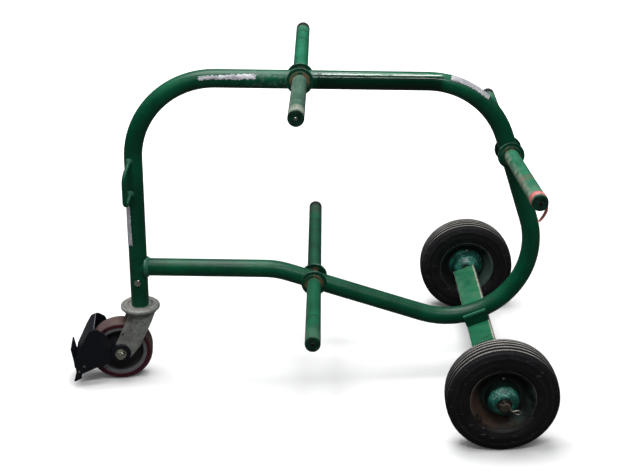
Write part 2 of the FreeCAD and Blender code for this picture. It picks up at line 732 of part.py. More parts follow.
def build_caster_head():
    """What the leg carries: the stem, its cross bolt, the fixed swivel plate and the king pin."""
    bore = tube_radius - tube_wall - stem_clearance
    bolt_at = at(0, -stem_bolt_drop)
    hole = rod(stem_bolt_d / 2 + axle_clearance, bolt_at + left * tube_od, bolt_at + right * tube_od)
    stem = rod(bore, leg_end, leg_end + up * stem_length)
    edges = [edge for edge in stem.Edges if edge.Curve.TypeId == "Part::GeomCircle"
             and edge.CenterOfMass.z > leg_end.z + stem_length / 2]
    parts["caster_stem"] = stem.makeChamfer(stem_chamfer, edges).cut(hole)
    spread = tube_radius + axle_clearance + washer_thickness
    head_seat = bolt_at + left * spread
    nut_seat = bolt_at + right * spread
    head = hexagon(stem_bolt_across, head_seat, head_seat + left * stem_bolt_head)
    shank = rod(stem_bolt_d / 2, head_seat, nut_seat + right * stem_bolt_end)
    parts["stem_bolt"] = head.fuse(shank).removeSplitter()
    nut = hexagon(stem_bolt_across, nut_seat, nut_seat + right * stem_nut_height)
    parts["stem_nut"] = nut.cut(
        rod(stem_bolt_d / 2 + cap_clearance, bolt_at, bolt_at + right * past_everything))

    head_low = -head_thickness
    groove = ball_d / 2 + race_gap
    ball_level = head_low - race_gap / 2
    swivel = turned(
        [(0, 0, 0), (tube_radius + 3, 0, 2), (tube_radius + 9, head_rim_rise, 4),
         (head_od / 2 - 7, head_rim_rise, 6), (head_od / 2, head_rim_rise - 5, 5),
         (head_od / 2, head_low, 3), (head_od / 2 - 3, head_low, 1),
         (head_od / 2 - 6, head_low + 3, 1), (0, head_low + 3, 0)],
        leg_end, up)
    track = Part.makeTorus(ball_circle, groove, leg_end + up * ball_level, up)
    rail = sleeve(
        ball_circle + ball_d, ball_circle - ball_d, leg_end + up * head_low,
        leg_end + up * (head_low + ball_d / 2))
    swivel = swivel.fuse(rail).cut(track)
    king_end = head_low - race_gap - crown_thickness
    king_hole = rod(king_d / 2, leg_end - up * past_everything / 2, leg_end)
    parts["swivel_plate"] = swivel.cut(king_hole)
    nut_start = leg_end + up * (king_end - side_clearance)
    parts["king_pin"] = rod(king_d / 2, nut_start - up * king_thread, leg_end)
    king_nut = hexagon(king_nut_across, nut_start, nut_start - up * king_nut_height)
    parts["king_nut"] = king_nut.cut(
        rod(king_d / 2 + cap_clearance, leg_end - up * past_everything, leg_end))
    balls = []
    for index in range(ball_count):
        turn = FreeCAD.Rotation(up, 360.0 / ball_count * index)
        spot = leg_end + up * (ball_level - race_gap / 2) + turn.multVec(along * ball_circle)
        balls.append(Part.makeSphere(ball_d / 2, spot))
    parts["swivel_balls"] = Part.makeCompound(balls)


def from_caster_axle(points):
    """Moves outline points that are measured from the caster axle to their place."""
    return [(x + caster_at.x, z + caster_at.z, rounding) for x, z, rounding in points]


def fork_leg(start, end):
    """One slanted side of the fork, from the crown to the axle."""
    half = fork_width / 2
    top = caster_drop - head_thickness - race_gap
    lean = caster_trail
    points = [
        (lean + half + 4, top, 0), (lean + half - 6, top - 26, 30), (half + 16, 18, 30),
        (24, -12, 16), (10, -23, 12), (-12, -20, 14), (-20, 2, 16), (lean - half - 6, top - 30, 40),
        (lean - half + 6, top, 0)]
    return plate(from_caster_axle(points), start, end)


def build_fork():
    top = leg_end + up * (-head_thickness - race_gap)
    low = top - up * crown_thickness
    inside = caster_width / 2 + fork_gap
    outside = inside + fork_sheet
    crown = rod(crown_radius, low, top)
    shelf = Part.makeBox(
        fork_width, 2 * outside, crown_thickness,
        Vector(-fork_width / 2 + 2, -outside, low.z))
    body = crown.fuse(shelf)
    for start, end in ((-outside, -inside), (inside, outside)):
        body = body.fuse(fork_leg(start, end))
    body = body.removeSplitter()
    track = Part.makeTorus(ball_circle, ball_d / 2 + ball_seat, top, up)
    body = body.cut(track)
    body = body.cut(rod(king_d / 2 + bearing_running, low - up * 5, top + up * 5))
    body = body.cut(rod(
        caster_axle_d / 2 + axle_clearance, caster_at + left * past_everything,
        caster_at + right * past_everything))
    peep = caster_at + at(*fork_peep)
    body = body.cut(rod(fork_peep_radius, peep + left * past_everything, peep))
    parts["fork"] = body


def build_caster_wheel():
    half = caster_width / 2
    seat = caster_core_radius + cap_clearance
    edge = caster_radius - 5
    tread = turned(
        [(seat, -half, 1), (edge, -half, 3), (caster_radius, -half + 6, 9),
         (caster_radius, half - 6, 9), (edge, half, 3), (seat, half, 1)],
        caster_at, right)
    parts["caster_tread"] = tread
    web = caster_web
    core = turned(
        [(sleeve_bore(), -half - 1, 0), (caster_hub_radius, -half - 1, 1.5),
         (caster_hub_radius + 3, -web, 4),
         (caster_web_radius, -web, 4), (caster_web_radius + 3, -half + 1, 1.5),
         (caster_core_radius, -half + 1, 0), (caster_core_radius, half - 1, 0),
         (caster_web_radius + 3, half - 1, 1.5), (caster_web_radius, web, 4),
         (caster_hub_radius + 3, web, 4), (caster_hub_radius, half + 1, 1.5),
         (sleeve_bore(), half + 1, 0)],
        caster_at, right)
    parts["caster_core"] = core
    rollers = sleeve(
        sleeve_bore() - cap_clearance, sleeve_od / 2 + bearing_running, caster_at + left * (half - 2),
        caster_at + right * (half - 2))
    parts["caster_bearing"] = rollers


def sleeve_bore():
    return sleeve_od / 2 + bearing_wall


def build_caster_axle():
    inside = caster_width / 2 + fork_gap
    outside = inside + fork_sheet
    brake_out = outside + side_clearance + brake_sheet + brake_boss_height
    clamp = brake_out + side_clearance
    hole = caster_axle_d / 2 + axle_clearance
    parts["axle_sleeve"] = sleeve(
        sleeve_od / 2, hole, caster_at + left * inside, caster_at + right * inside)
    shoulders = []
    washers = []
    seat = clamp + washer_thickness
    for side in (left, right):
        shoulders.append(sleeve(
            brake_bore() - bearing_running, hole, caster_at + side * outside, caster_at + side * clamp))
        washers.append(sleeve(
            caster_washer_radius, hole, caster_at + side * clamp, caster_at + side * seat))
    parts["brake_bushings"] = Part.makeCompound(shoulders)
    parts["axle_washers"] = Part.makeCompound(washers)
    head = hexagon(
        caster_nut_across, caster_at + right * seat, caster_at + right * (seat + caster_bolt_head))
    shank = rod(
        caster_axle_d / 2, caster_at + right * seat, caster_at + left * (seat + caster_bolt_end))
    parts["caster_bolt"] = head.fuse(shank).removeSplitter()
    nut = hexagon(
        caster_nut_across, caster_at + left * seat, caster_at + left * (seat + caster_nut_height))
    parts["caster_nut"] = nut.cut(rod(
        caster_axle_d / 2 + cap_clearance, caster_at, caster_at + left * past_everything))


def brake_bore():
    return caster_axle_d / 2 + brake_bush_wall


def joggled_strip(side, inside):
    """The bent sheet that a cheek is cut from, seen from above: close at the axle, wide in front."""
    outer = brake_half_width + brake_sheet
    close = inside + brake_sheet
    run = brake_joggle_end - brake_joggle_start
    skew = brake_sheet * math.tan(math.atan2(brake_half_width - inside, run) / 2)
    plan = [
        (60, inside), (-brake_joggle_start, inside), (-brake_joggle_end, brake_half_width),
        (-160, brake_half_width), (-160, outer), (-brake_joggle_end + skew, outer),
        (-brake_joggle_start + skew, close), (60, close)]
    corners = [caster_at + Vector(x, y * side.y, -90) for x, y in plan]
    strip = Part.Face(Part.makePolygon(corners + corners[:1])).extrude(up * 200)
    return strip


def build_brake():
    inside = caster_width / 2 + fork_gap + fork_sheet + side_clearance
    outside = inside + brake_sheet
    bore = rod(brake_bore(), caster_at + left * past_everything, caster_at + right * past_everything)
    reach = brake_half_width + brake_sheet + 1
    slab = plate(from_caster_axle(cheek_outline), -reach, reach)
    pin_spots = [caster_at + at(x, z) for x, z in brake_pin_spots]
    for side_name, side in sides:
        disc = rod(brake_boss_radius, caster_at + side * inside, caster_at + side * outside)
        boss = turned(
            [(0, outside, 0), (brake_boss_radius, outside, 0),
             (brake_boss_radius, outside + brake_boss_height, 1.5), (0, outside + brake_boss_height, 0)],
            caster_at, side)
        cheek = slab.common(joggled_strip(side, inside)).fuse([disc, boss]).removeSplitter().cut(bore)
        for spot in pin_spots:
            cheek = cheek.cut(rod(
                brake_pin / 2 + cap_clearance, spot + left * past_everything,
                spot + right * past_everything))
        parts["brake_cheek_%s" % side_name] = cheek
    hood_half = brake_half_width - cap_clearance
    parts["brake_hood"] = plate(from_caster_axle(hood_outline), -hood_half, hood_half)
    parts["brake_pedal"] = plate(
        from_caster_axle(pedal_outline), -pedal_half_width, pedal_half_width)
    shoe = plate(from_caster_axle(shoe_outline), -shoe_width / 2, shoe_width / 2)
    parts["brake_shoe"] = shoe.cut(rod(
        caster_radius + brake_tread_gap, caster_at + left * shoe_width, caster_at + right * shoe_width))
    head = brake_half_width + brake_sheet + brake_pin_standout
    pins = [rod(brake_pin / 2, spot + left * head, spot + right * head) for spot in pin_spots]
    parts["brake_cross_pins"] = Part.makeCompound(pins)


def swing(shape):
    """Turns a piece of the caster about the leg's axis to where the caster stands."""
    swung = shape.copy()
    swung.rotate(Vector(0, 0, 0), up, caster_swing)
    return swung


def stand(shape):
    """Tips the upright drawing by the lean and sets its wheels on the floor."""
    placed = shape.copy()
    placed.rotate(Vector(0, 0, 0), across, lean)
    placed.translate(shift)
    return placed


def stand_point(point):
    return FreeCAD.Rotation(across, lean).multVec(point) + shift


def stand_axis(axis):
    return FreeCAD.Rotation(across, lean).multVec(axis)


# The lean puts the caster and the rear wheels on one floor.
span = axle_at - caster_at
lean = math.degrees(
    math.atan2(span.z, span.x) - math.asin((tyre_radius - caster_radius) / span.Length))
tipped_axle = FreeCAD.Rotation(across, lean).multVec(axle_at)
toe = FreeCAD.Rotation(up, caster_swing).multVec(
    caster_at + at(*toe_reach, brake_half_width + brake_sheet))
tipped_toe = FreeCAD.Rotation(across, lean).multVec(toe)
tipped_bend = FreeCAD.Rotation(across, lean).multVec(rear_bend)
rearmost = max(tipped_axle.x + tyre_radius, tipped_bend.x + bend_radius + tube_radius)
middle_x = (rearmost + tipped_toe.x) / 2
shift = Vector(-middle_x, 0, tyre_radius - tipped_axle.z)


def main():
    os.makedirs("parts", exist_ok=True)
    beads = [build_frame()] + build_pull_loop()
    parts["weld_beads"] = Part.makeCompound(beads)
    build_spindles()
    build_tape()
    build_rear_axle()
    build_rear_wheels()
    build_caster_head()
    fixed = set(parts)
    build_fork()
    build_caster_wheel()
    build_caster_axle()
    build_brake()
    for name in set(parts) - fixed:
        parts[name] = swing(parts[name])
    for name, shape in parts.items():
        placed = stand(shape)
        placed.exportStep("parts/%s.step" % name)
        print("%-24s solids %2d  valid %s  volume %.1f cm3" % (
            name, len(placed.Solids), placed.isValid(), placed.Volume / 1000))


main()
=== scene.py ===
import json
import math
import random

import bmesh
import bpy
from mathutils import Matrix, Vector, noise


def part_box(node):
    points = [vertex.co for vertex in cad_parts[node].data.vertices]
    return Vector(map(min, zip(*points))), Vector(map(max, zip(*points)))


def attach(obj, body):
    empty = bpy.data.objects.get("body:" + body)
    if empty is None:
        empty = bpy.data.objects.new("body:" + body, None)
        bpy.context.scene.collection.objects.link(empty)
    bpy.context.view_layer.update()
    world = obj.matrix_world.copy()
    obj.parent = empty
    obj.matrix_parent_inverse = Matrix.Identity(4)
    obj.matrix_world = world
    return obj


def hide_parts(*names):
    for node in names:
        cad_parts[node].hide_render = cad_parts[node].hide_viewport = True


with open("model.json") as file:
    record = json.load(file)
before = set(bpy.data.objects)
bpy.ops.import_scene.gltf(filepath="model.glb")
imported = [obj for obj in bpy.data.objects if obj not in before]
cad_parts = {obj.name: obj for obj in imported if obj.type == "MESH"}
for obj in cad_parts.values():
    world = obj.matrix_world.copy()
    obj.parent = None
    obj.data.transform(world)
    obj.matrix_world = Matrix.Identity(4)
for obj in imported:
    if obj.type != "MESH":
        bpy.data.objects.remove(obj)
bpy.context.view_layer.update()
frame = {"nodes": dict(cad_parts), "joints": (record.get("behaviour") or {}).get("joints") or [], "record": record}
nodes = frame["nodes"]
record = frame["record"]
mounts = {m["name"]: m for m in record["mounts"]}
joints = {j["name"]: j for j in frame["joints"]}
print("frame loaded,", len(nodes), "parts")


# ---- where things are ----
swivel = joints["caster_swivel_turn"]
legUp = Vector(swivel["axis"]).normalized()  # the leg leans a little, and the whole loop with it
rearward = Vector((legUp.z, 0, -legUp.x))
legDrop = 0.0995
loopStart = Vector(swivel["pos_m"]) + legUp * legDrop  # where the leg's and the lower run's axes cross
tubeRadius = 0.0211
bendRadius = 0.192
topRun = 0.4626  # height of the top run's axis over the lower run's
topCorner = 0.8037  # where the top run and the raked rear run would meet
cornerReach = bendRadius * math.tan(math.radians(90 - 19.4) / 2)
casterAxle = Vector(joints["caster_wheel_turn"]["pos_m"])
casterSide = Vector(joints["caster_wheel_turn"]["axis"]).normalized()
casterBack = casterSide.cross(legUp).normalized()  # from the axle towards the cart's rear
casterUp = casterBack.cross(casterSide).normalized()
wheelAxle = {side: Vector(joints["wheel_" + side + "_turn"]["pos_m"]) for side in ("left", "right")}


def onLoop(x, z, y=0.0):
    return loopStart + rearward * x + legUp * z + Vector((0, y, 0))


def onCaster(x, z, y=0.0):
    return casterAxle + casterBack * x + casterUp * z + casterSide * y


# ---- camera and light ----
view = {"place": (0.08435, -2.53836, 1.3956), "turn": (67.697, 1.458, 0.444), "lens": 66.43, "sensor": 36.0}

cameraData = bpy.data.cameras.new("camera")
cameraData.lens = view["lens"]
cameraData.sensor_width = view["sensor"]
camera = bpy.data.objects.new("camera", cameraData)
camera.location = view["place"]
camera.rotation_euler = [math.radians(a) for a in view["turn"]]
bpy.context.scene.collection.objects.link(camera)
bpy.context.scene.camera = camera

studio = {
    "overhead": {"place": (-0.2, 0.3, 3.6), "aim": (0, 0, 0.2), "size": (2.6, 2.2), "power": 136},
    "strip": {"place": (0.5, -1.97, 3.0), "aim": (0.3, 0, 0.7), "size": (2.2, 0.07), "power": 34},
    "fill": {"place": (-1.6, -3.2, 2.6), "aim": (0, 0, 0.3), "size": (1.6, 1.2), "power": 4},
}
for name, lamp in studio.items():
    data = bpy.data.lights.new(name, "AREA")
    data.shape = "RECTANGLE"
    data.size, data.size_y = lamp["size"]
    data.energy = lamp["power"]
    light = bpy.data.objects.new(name, data)
    light.location = lamp["place"]
    light.rotation_euler = (Vector(lamp["aim"]) - Vector(lamp["place"])).to_track_quat("-Z", "Y").to_euler()
    bpy.context.scene.collection.objects.link(light)


# ---- shader writing ----
class Value:  # a socket that can be used in arithmetic
    def __init__(self, paint, socket):
        self.paint = paint
        self.socket = socket

    def sum(self, operation, first, second):
        return self.paint.add("ShaderNodeMath", {"operation": operation}, {0: first, 1: second})

    def __add__(self, other):
        return self.sum("ADD", self, other)

    def __radd__(self, other):
        return self.sum("ADD", other, self)

    def __sub__(self, other):
        return self.sum("SUBTRACT", self, other)

    def __rsub__(self, other):
        return self.sum("SUBTRACT", other, self)

    def __mul__(self, other):
        return self.sum("MULTIPLY", self, other)

    def __rmul__(self, other):
        return self.sum("MULTIPLY", other, self)

    def __truediv__(self, other):
        return self.sum("DIVIDE", self, other)

    def __abs__(self):
        return self.sum("ABSOLUTE", self, 0.0)

    def either(self, other):
        return self.sum("MAXIMUM", self, other)


class Paint:  # one material, with the patterns that the finishes below share
    def __init__(self, name):
        self.material = bpy.data.materials.new(name)
        self.material.use_nodes = True
        self.tree = self.material.node_tree
        self.shader = self.tree.nodes["Principled BSDF"]
        self.place = self.add("ShaderNodeTexCoord", {}, {}, "Object")
        self.facing = self.add("ShaderNodeTexCoord", {}, {}, "Normal")

    def plug(self, socket, value):
        if isinstance(value, Value):
            self.tree.links.new(value.socket, socket)
        elif isinstance(value, (tuple, list, Vector)) and socket.type == "RGBA":
            socket.default_value = (*value, 1.0)[:4]
        else:
            socket.default_value = value

    def add(self, kind, settings, sockets, output=0):
        node = self.tree.nodes.new(kind)
        for name, value in settings.items():
            setattr(node, name, value)
        for name, value in sockets.items():
            self.plug(node.inputs[name], value)
        return Value(self, node.outputs[output])

    def mix(self, factor, first, second):
        return self.add("ShaderNodeMix", {"data_type": "RGBA"}, {0: factor, 6: first, 7: second}, 2)

    def layer(self, colour, amount, over):
        return self.mix(amount, colour, over)

    def step(self, value, low, high):  # 0 below low, 1 above high; the other way round if high is lower
        if high < low:
            return 1.0 - self.step(value, high, low)
        return self.add(
            "ShaderNodeMapRange", {"interpolation_type": "SMOOTHSTEP"}, {0: value, 1: low, 2: high, 3: 0.0, 4: 1.0})

    def band(self, value, low, high, soft):
        return self.step(value, low - soft, low + soft) * self.step(value, high + soft, high - soft)

    def spot(self, centre, radius, soft):
        away = self.add("ShaderNodeVectorMath", {"operation": "DISTANCE"}, {0: self.place, 1: centre}, "Value")
        return self.step(away, radius + soft, radius - soft)

    def along(self, direction, origin):
        direction = Vector(direction)
        reach = self.add("ShaderNodeVectorMath", {"operation": "DOT_PRODUCT"}, {0: self.place, 1: direction}, "Value")
        return reach - direction.dot(Vector(origin))

    def upward(self):
        return self.add("ShaderNodeVectorMath", {"operation": "DOT_PRODUCT"}, {0: self.facing, 1: (0, 0, 1)}, "Value")

    def length(self, first, second):
        return self.sqrt(first * first + second * second)

    def sqrt(self, value):
        return self.add("ShaderNodeMath", {"operation": "SQRT"}, {0: value})

    def grain(self, scale, detail=3.0, rough=0.55, where=None):
        return self.add(
            "ShaderNodeTexNoise", {}, {"Vector": where or self.place, "Scale": scale, "Detail": detail, "Roughness": rough})

    def cells(self, scale, where=None):
        return self.add("ShaderNodeTexVoronoi", {"feature": "F1"}, {"Vector": where or self.place, "Scale": scale}, "Distance")

    def stretched(self, turn, size):
        return self.add(
            "ShaderNodeMapping", {}, {"Vector": self.place, "Rotation": [math.radians(a) for a in turn], "Scale": size})

    def scratches(self, turn, long, thin, cut):
        lines = self.grain(1.0, 2.0, 0.5, self.stretched(turn, (long, thin, thin)))
        return self.step(lines, cut, cut + 0.05)

    def rings(self, value, pitch, seed):
        where = self.add("ShaderNodeCombineXYZ", {}, {0: value * pitch, 1: seed, 2: seed * 0.7})
        return self.grain(1.0, 3.0, 0.6, where)

    def bump(self, height, strength, distance):
        bumped = self.add(
            "ShaderNodeBump", {}, {"Height": height, "Strength": strength, "Distance": distance}, "Normal")
        self.plug(self.shader.inputs["Normal"], bumped)

    def finish(self, **looks):
        names = {"colour": "Base Color", "rough": "Roughness", "metal": "Metallic", "coat": "Coat Weight",
                 "coatRough": "Coat Roughness", "gloss": "Specular IOR Level", "shine": "Emission Color", "shineBy": "Emission Strength"}
        for key, value in looks.items():
            self.plug(self.shader.inputs[names[key]], value)
        return self.material


rust = (0.085, 0.032, 0.014)
rustPale = (0.21, 0.11, 0.06)
dust = (0.30, 0.26, 0.21)
bareSteel = (0.42, 0.39, 0.34)


# ---- enamel on the frame and its fittings ----
def enamel(name, look, extra=None):
    paint = Paint(name)
    broad = paint.grain(7.0, 4.0, 0.6)
    fine = paint.grain(160.0, 4.0, 0.65)
    colour = paint.mix(paint.step(broad, 0.36, 0.66), look["deep"], look["base"])
    colour = paint.mix(paint.step(fine, 0.5, 0.78) * look["mottle"], colour, look["pale"])
    lines = paint.scratches((0, 8, 0), 14, 900, look["cut"])
    lines = lines.either(paint.scratches((0, 97, 5), 18, 800, look["cut"]))
    lines = lines.either(paint.scratches((30, 40, 60), 26, 1100, look["cut"] + 0.01))
    colour = paint.layer(colour, lines * 0.55, look["pale"])
    specks = paint.step(paint.grain(420.0, 2.0, 0.5), 0.74, 0.79)
    colour = paint.layer(colour, specks * look["specks"], (0.3, 0.36, 0.32))
    chips = paint.step(paint.grain(70.0, 5.0, 0.7), look["chips"], look["chips"] + 0.02)
    colour = paint.layer(colour, chips, rust)
    film = paint.step(paint.upward(), 0.25, 1.0) * paint.step(paint.grain(30.0, 5.0, 0.6), 0.35, 0.7)
    colour = paint.layer(colour, film * look["dust"], (0.22, 0.28, 0.23))
    rough = look["rough"] + broad * 0.12 + chips * 0.4 + film * look["dust"] * 0.5 + fine * 0.06
    if extra:
        colour, rough = extra(paint, colour, rough)
    paint.bump(fine * 0.4 + broad * 0.8 - lines * 0.5 - chips * 1.5, 0.25, 0.0006)
    return paint.finish(colour=colour, rough=rough, coat=look["coat"], coatRough=0.06, gloss=look["gloss"])


loopLook = {"base": (0.0006, 0.094, 0.041), "deep": (0.0003, 0.052, 0.023), "pale": (0.008, 0.16, 0.085), "mottle": 0.3,
            "cut": 0.69, "specks": 0.65, "chips": 0.725, "dust": 0.03, "rough": 0.26, "coat": 0.06, "gloss": 0.25}


def loopExtras(paint, colour, rough):
    x = paint.along(rearward, loopStart)
    z = paint.along(legUp, loopStart)
    y = paint.along((0, 1, 0), (0, 0, 0))
    glossy = paint.band(x, 0.415, 0.70, 0.01) * paint.step(z, 0.42, 0.44)
    rough = rough * (1.0 - glossy * 0.7)
    height = (z - topRun) / tubeRadius
    # painted reflection: on the glossy stretch of the top run the tube below the highlight line is painted near-black
    colour = paint.layer(colour, glossy * paint.step(height, 0.74, 0.66) * 0.85, (0.0003, 0.010, 0.005))
    # painted highlight: a thin pale line along the near side of the top run, where the strip lamp would reflect
    rubWearAndPaintedHighlight = glossy * paint.band(height + paint.grain(60.0, 3.0) * 0.1, 0.79, 0.87, 0.03) * paint.step(y, 0.0, -0.004)
    colour = paint.layer(colour, rubWearAndPaintedHighlight * paint.step(paint.grain(40.0, 4.0), 0.3, 0.5) * 0.85, (0.62, 0.7, 0.66))
    # the scuffed stretch between the torn label and the top spindle
    scuffed = paint.band(x, 0.27, 0.36, 0.02) * paint.step(z, 0.44, 0.45) * paint.step(y, 0.0, -0.008)
    worn = scuffed * paint.step(paint.grain(90.0, 5.0, 0.7), 0.48, 0.6)
    colour = paint.layer(colour, worn * 0.5, (0.12, 0.2, 0.17))
    return colour, rough + worn * 0.3


loopPaint = enamel("loopEnamel", loopLook, loopExtras)
# darker than the loop's enamel; on the saddle plates this darkness is painted shade under the tube
fittingLook = dict(loopLook, base=(0.002, 0.062, 0.03), deep=(0.001, 0.032, 0.016), specks=0.8, chips=0.70,
                   cut=0.67, rough=0.3)


def flangePaint(name, mount):
    side = Vector(mount["axis"])
    seat = Vector(mount["pos_m"])
    hub = Vector((seat.x, 0, seat.z)) - Vector((side.x, 0, side.z)) * abs(seat.y / side.y)
    hub = hub + legUp * 0.0018

    def extras(paint, colour, rough):
        out = paint.length(paint.along(rearward, hub), paint.along(legUp, hub))
        ragged = paint.grain(120.0, 4.0, 0.6) * 0.004
        worn = paint.step(out + ragged, 0.0305, 0.0325) * paint.step(paint.grain(60.0, 3.0), 0.4, 0.62)
        colour = paint.layer(colour, worn * 0.8, (0.1, 0.19, 0.14))
        stained = paint.step(out - ragged, 0.0225, 0.019) * paint.step(paint.grain(55.0, 5.0, 0.65), 0.44, 0.6)
        colour = paint.layer(colour, stained * 0.75, rustPale)
        return colour, rough + worn * 0.2 + stained * 0.4

    return enamel(name, fittingLook, extras)


# each spindle's edge colour is painted light and shade on one side of it, the side given by the sign beside it; the
# same colour tints the film streaks
spindles = {
    "top_spindle_left": {
        "base": (0.062, 0.135, 0.092), "deep": (0.036, 0.098, 0.064), "edge": (0.2, 0.25, 0.2), "paintedLightSide": -1,
        "ringMarks": 0.5, "capScuff": 0.9, "rust": 0.15, "bands": (0.35,), "film": 0.45},
    "top_spindle_right": {
        "base": (0.008, 0.16, 0.083), "deep": (0.004, 0.11, 0.056), "edge": (0.01, 0.06, 0.035), "paintedLightSide": -1,
        "ringMarks": 0.4, "capScuff": 0.1, "rust": 0.1, "bands": (0.28, 0.62), "film": 0.05, "tip": 0.87},
    "rear_spindle_left": {
        "base": (0.016, 0.165, 0.085), "deep": (0.01, 0.12, 0.06), "edge": (0.24, 0.27, 0.21), "paintedLightSide": -1,
        "ringMarks": 0.35, "capScuff": 0.3, "rust": 0.85, "bands": (0.2, 0.3), "film": 0.25,
        "bandColour": (0.2, 0.07, 0.055)},
    "rear_spindle_right": {
        "base": (0.01, 0.12, 0.065), "deep": (0.005, 0.075, 0.038), "edge": (0.04, 0.11, 0.07), "paintedLightSide": 1,
        "ringMarks": 0.3, "capScuff": 0.2, "rust": 0.4, "bands": (0.3,), "film": 0.1, "tip": 0.87},
    "lower_spindle_left": {
        "base": (0.006, 0.125, 0.058), "deep": (0.003, 0.08, 0.036), "edge": (0.05, 0.14, 0.09), "paintedLightSide": -1,
        "ringMarks": 0.4, "capScuff": 0.15, "rust": 0.75, "bands": (0.32,), "film": 0.15},
    "lower_spindle_right": {
        "base": (0.003, 0.08, 0.038), "deep": (0.002, 0.045, 0.02), "edge": (0.003, 0.025, 0.014), "paintedLightSide": -1,
        "ringMarks": 0.65, "capScuff": 0.1, "rust": 0.4, "bands": (0.1, 0.42, 0.75), "film": 0.0, "tip": 0.9},
}


def spindlePaint(name, mount, look):
    paint = Paint(name + "Enamel")
    axis = Vector(mount["axis"]).normalized()
    middle = Vector(mount["pos_m"])
    half = mount["dims"]["length_mm"] / 2000
    along = paint.along(axis, middle) / half  # -1 at the flange's end, 1 at the cap
    across = paint.along(rearward, middle) / 0.0167
    broad = paint.grain(16.0, 4.0, 0.6)
    colour = paint.mix(paint.step(broad, 0.35, 0.65), look["deep"], look["base"])
    streaks = paint.grain(1.0, 3.0, 0.6, paint.add(
        "ShaderNodeCombineXYZ", {}, {0: along * 2.2, 1: across * 5.0, 2: paint.along(legUp, middle) * 320}))
    colour = paint.layer(colour, paint.step(streaks, 0.5, 0.75) * look["film"], look["edge"])
    # painted light and shade: the side of the spindle near its outline takes the look's edge colour
    edge = paint.step(across * look["paintedLightSide"], 0.45, 0.98) * paint.step(paint.grain(45.0, 4.0), 0.3, 0.6)
    colour = paint.layer(colour, edge * 0.85, look["edge"])
    ragged = paint.grain(130.0, 4.0, 0.65)
    marks = paint.step(paint.rings(along, 26.0, 3.1) + ragged * 0.25, 0.68, 0.76)
    colour = paint.layer(colour, marks * look["ringMarks"], (0.004, 0.025, 0.015))
    for at in look["bands"]:
        ring = paint.band(along + ragged * 0.03, at, at + 0.04, 0.01) * paint.step(ragged, 0.3, 0.42)
        colour = paint.layer(colour, ring * 0.8, look.get("bandColour", (0.004, 0.02, 0.012)))
    nearCap = paint.step(along, 0.6, 0.9) * paint.step(paint.rings(along, 60.0, 7.7) + ragged * 0.3, 0.56, 0.66)
    colour = paint.layer(colour, nearCap * look["capScuff"], (0.36, 0.37, 0.31))
    lastRing = paint.band(along, 0.955, 0.972, 0.003) * look["capScuff"]
    colour = paint.layer(colour, lastRing * 0.8, (0.01, 0.02, 0.014))
    specks = paint.step(paint.grain(75.0, 5.0, 0.75), 0.66, 0.70)
    colour = paint.layer(colour, specks * 0.8, (0.04, 0.035, 0.02))
    base = paint.step(along + ragged * 0.1, -0.86, -1.02) * paint.step(ragged, 0.42, 0.56)
    tip = paint.band(along + ragged * 0.15, 0.68, 0.93, 0.08) * paint.step(paint.grain(60.0, 5.0, 0.7), 0.56, 0.63)
    stained = (base + tip * 0.7) * look["rust"]
    colour = paint.layer(colour, stained, rustPale)
    dark = paint.step(along, look.get("tip", 2.0), look.get("tip", 2.0) + 0.004)
    colour = paint.layer(colour, dark, (0.006, 0.007, 0.008))
    height = ragged * 0.4 - marks * 0.8 - specks + stained * 0.6
    paint.bump(height, 0.35, 0.0006)
    rough = 0.36 + broad * 0.1 + edge * 0.2 + stained * 0.35 + nearCap * 0.2
    return paint.finish(colour=colour, rough=rough, coat=0.05, coatRough=0.25, gloss=0.35)


def capPaint():
    paint = Paint("capEnamel")
    far = paint.step(paint.along((0, 1, 0), (0, 0, 0)), -0.01, 0.01)
    mottled = paint.grain(110.0, 4.0, 0.65)
    near = paint.mix(paint.step(mottled, 0.4, 0.65), (0.0015, 0.018, 0.01), (0.004, 0.05, 0.026))
    colour = paint.mix(far, near, (0.008, 0.009, 0.01))
    worn = paint.step(paint.grain(260.0, 3.0), 0.66, 0.72)
    colour = paint.layer(colour, worn * 0.5, (0.14, 0.17, 0.14))
    paint.bump(mottled, 0.3, 0.0005)
    return paint.finish(colour=colour, rough=0.35 + mottled * 0.2, gloss=0.35)


def memberPaint():
    lowest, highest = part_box("cross_member")
    middle = (lowest + highest) / 2
    tilt = math.radians(21.25)
    wide = Vector((math.cos(tilt), 0, math.sin(tilt)))
    thick = Vector((-math.sin(tilt), 0, math.cos(tilt)))
    look = dict(loopLook, base=(0.003, 0.155, 0.065), deep=(0.001, 0.1, 0.041), pale=(0.018, 0.19, 0.1), mottle=0.4,
                chips=0.68, cut=0.66, dust=0.08, rough=0.4, coat=0.05)

    def extras(paint, colour, rough):
        u = paint.along(wide, middle)
        v = paint.along(thick, middle)
        y = paint.along((0, 1, 0), (0, 0, 0))
        ragged = paint.grain(95.0, 5.0, 0.7)
        bare = paint.step(u + ragged * 0.006, 0.0268, 0.0285) * paint.step(ragged, 0.3, 0.42)
        bare = bare.either(paint.step(u * -1.0 + ragged * 0.005, 0.0285, 0.030) * paint.step(ragged, 0.42, 0.52))
        colour = paint.layer(colour, bare * 0.9, (0.46, 0.44, 0.37))
        pits = bare * paint.step(paint.grain(150.0, 4.0, 0.7), 0.56, 0.62)
        colour = paint.layer(colour, pits, rust)
        worn = paint.step(y, 0.02, 0.12) * paint.step(paint.grain(24.0, 5.0, 0.6), 0.4, 0.66) * paint.step(v, 0.006, 0.011)
        colour = paint.layer(colour, worn * 0.4, (0.09, 0.2, 0.12))
        cuts = paint.band(y + ragged * 0.012, -0.118, -0.1145, 0.0008) * paint.step(u, -0.02, -0.012)
        cuts = cuts.either(paint.band(y - u * 0.25 + ragged * 0.01, -0.104, -0.102, 0.0008) * paint.step(ragged, 0.4, 0.5))
        colour = paint.layer(colour, cuts, (0.004, 0.01, 0.006))
        return colour, rough + bare * 0.25 + worn * 0.15

    return enamel("memberEnamel", look, extras)


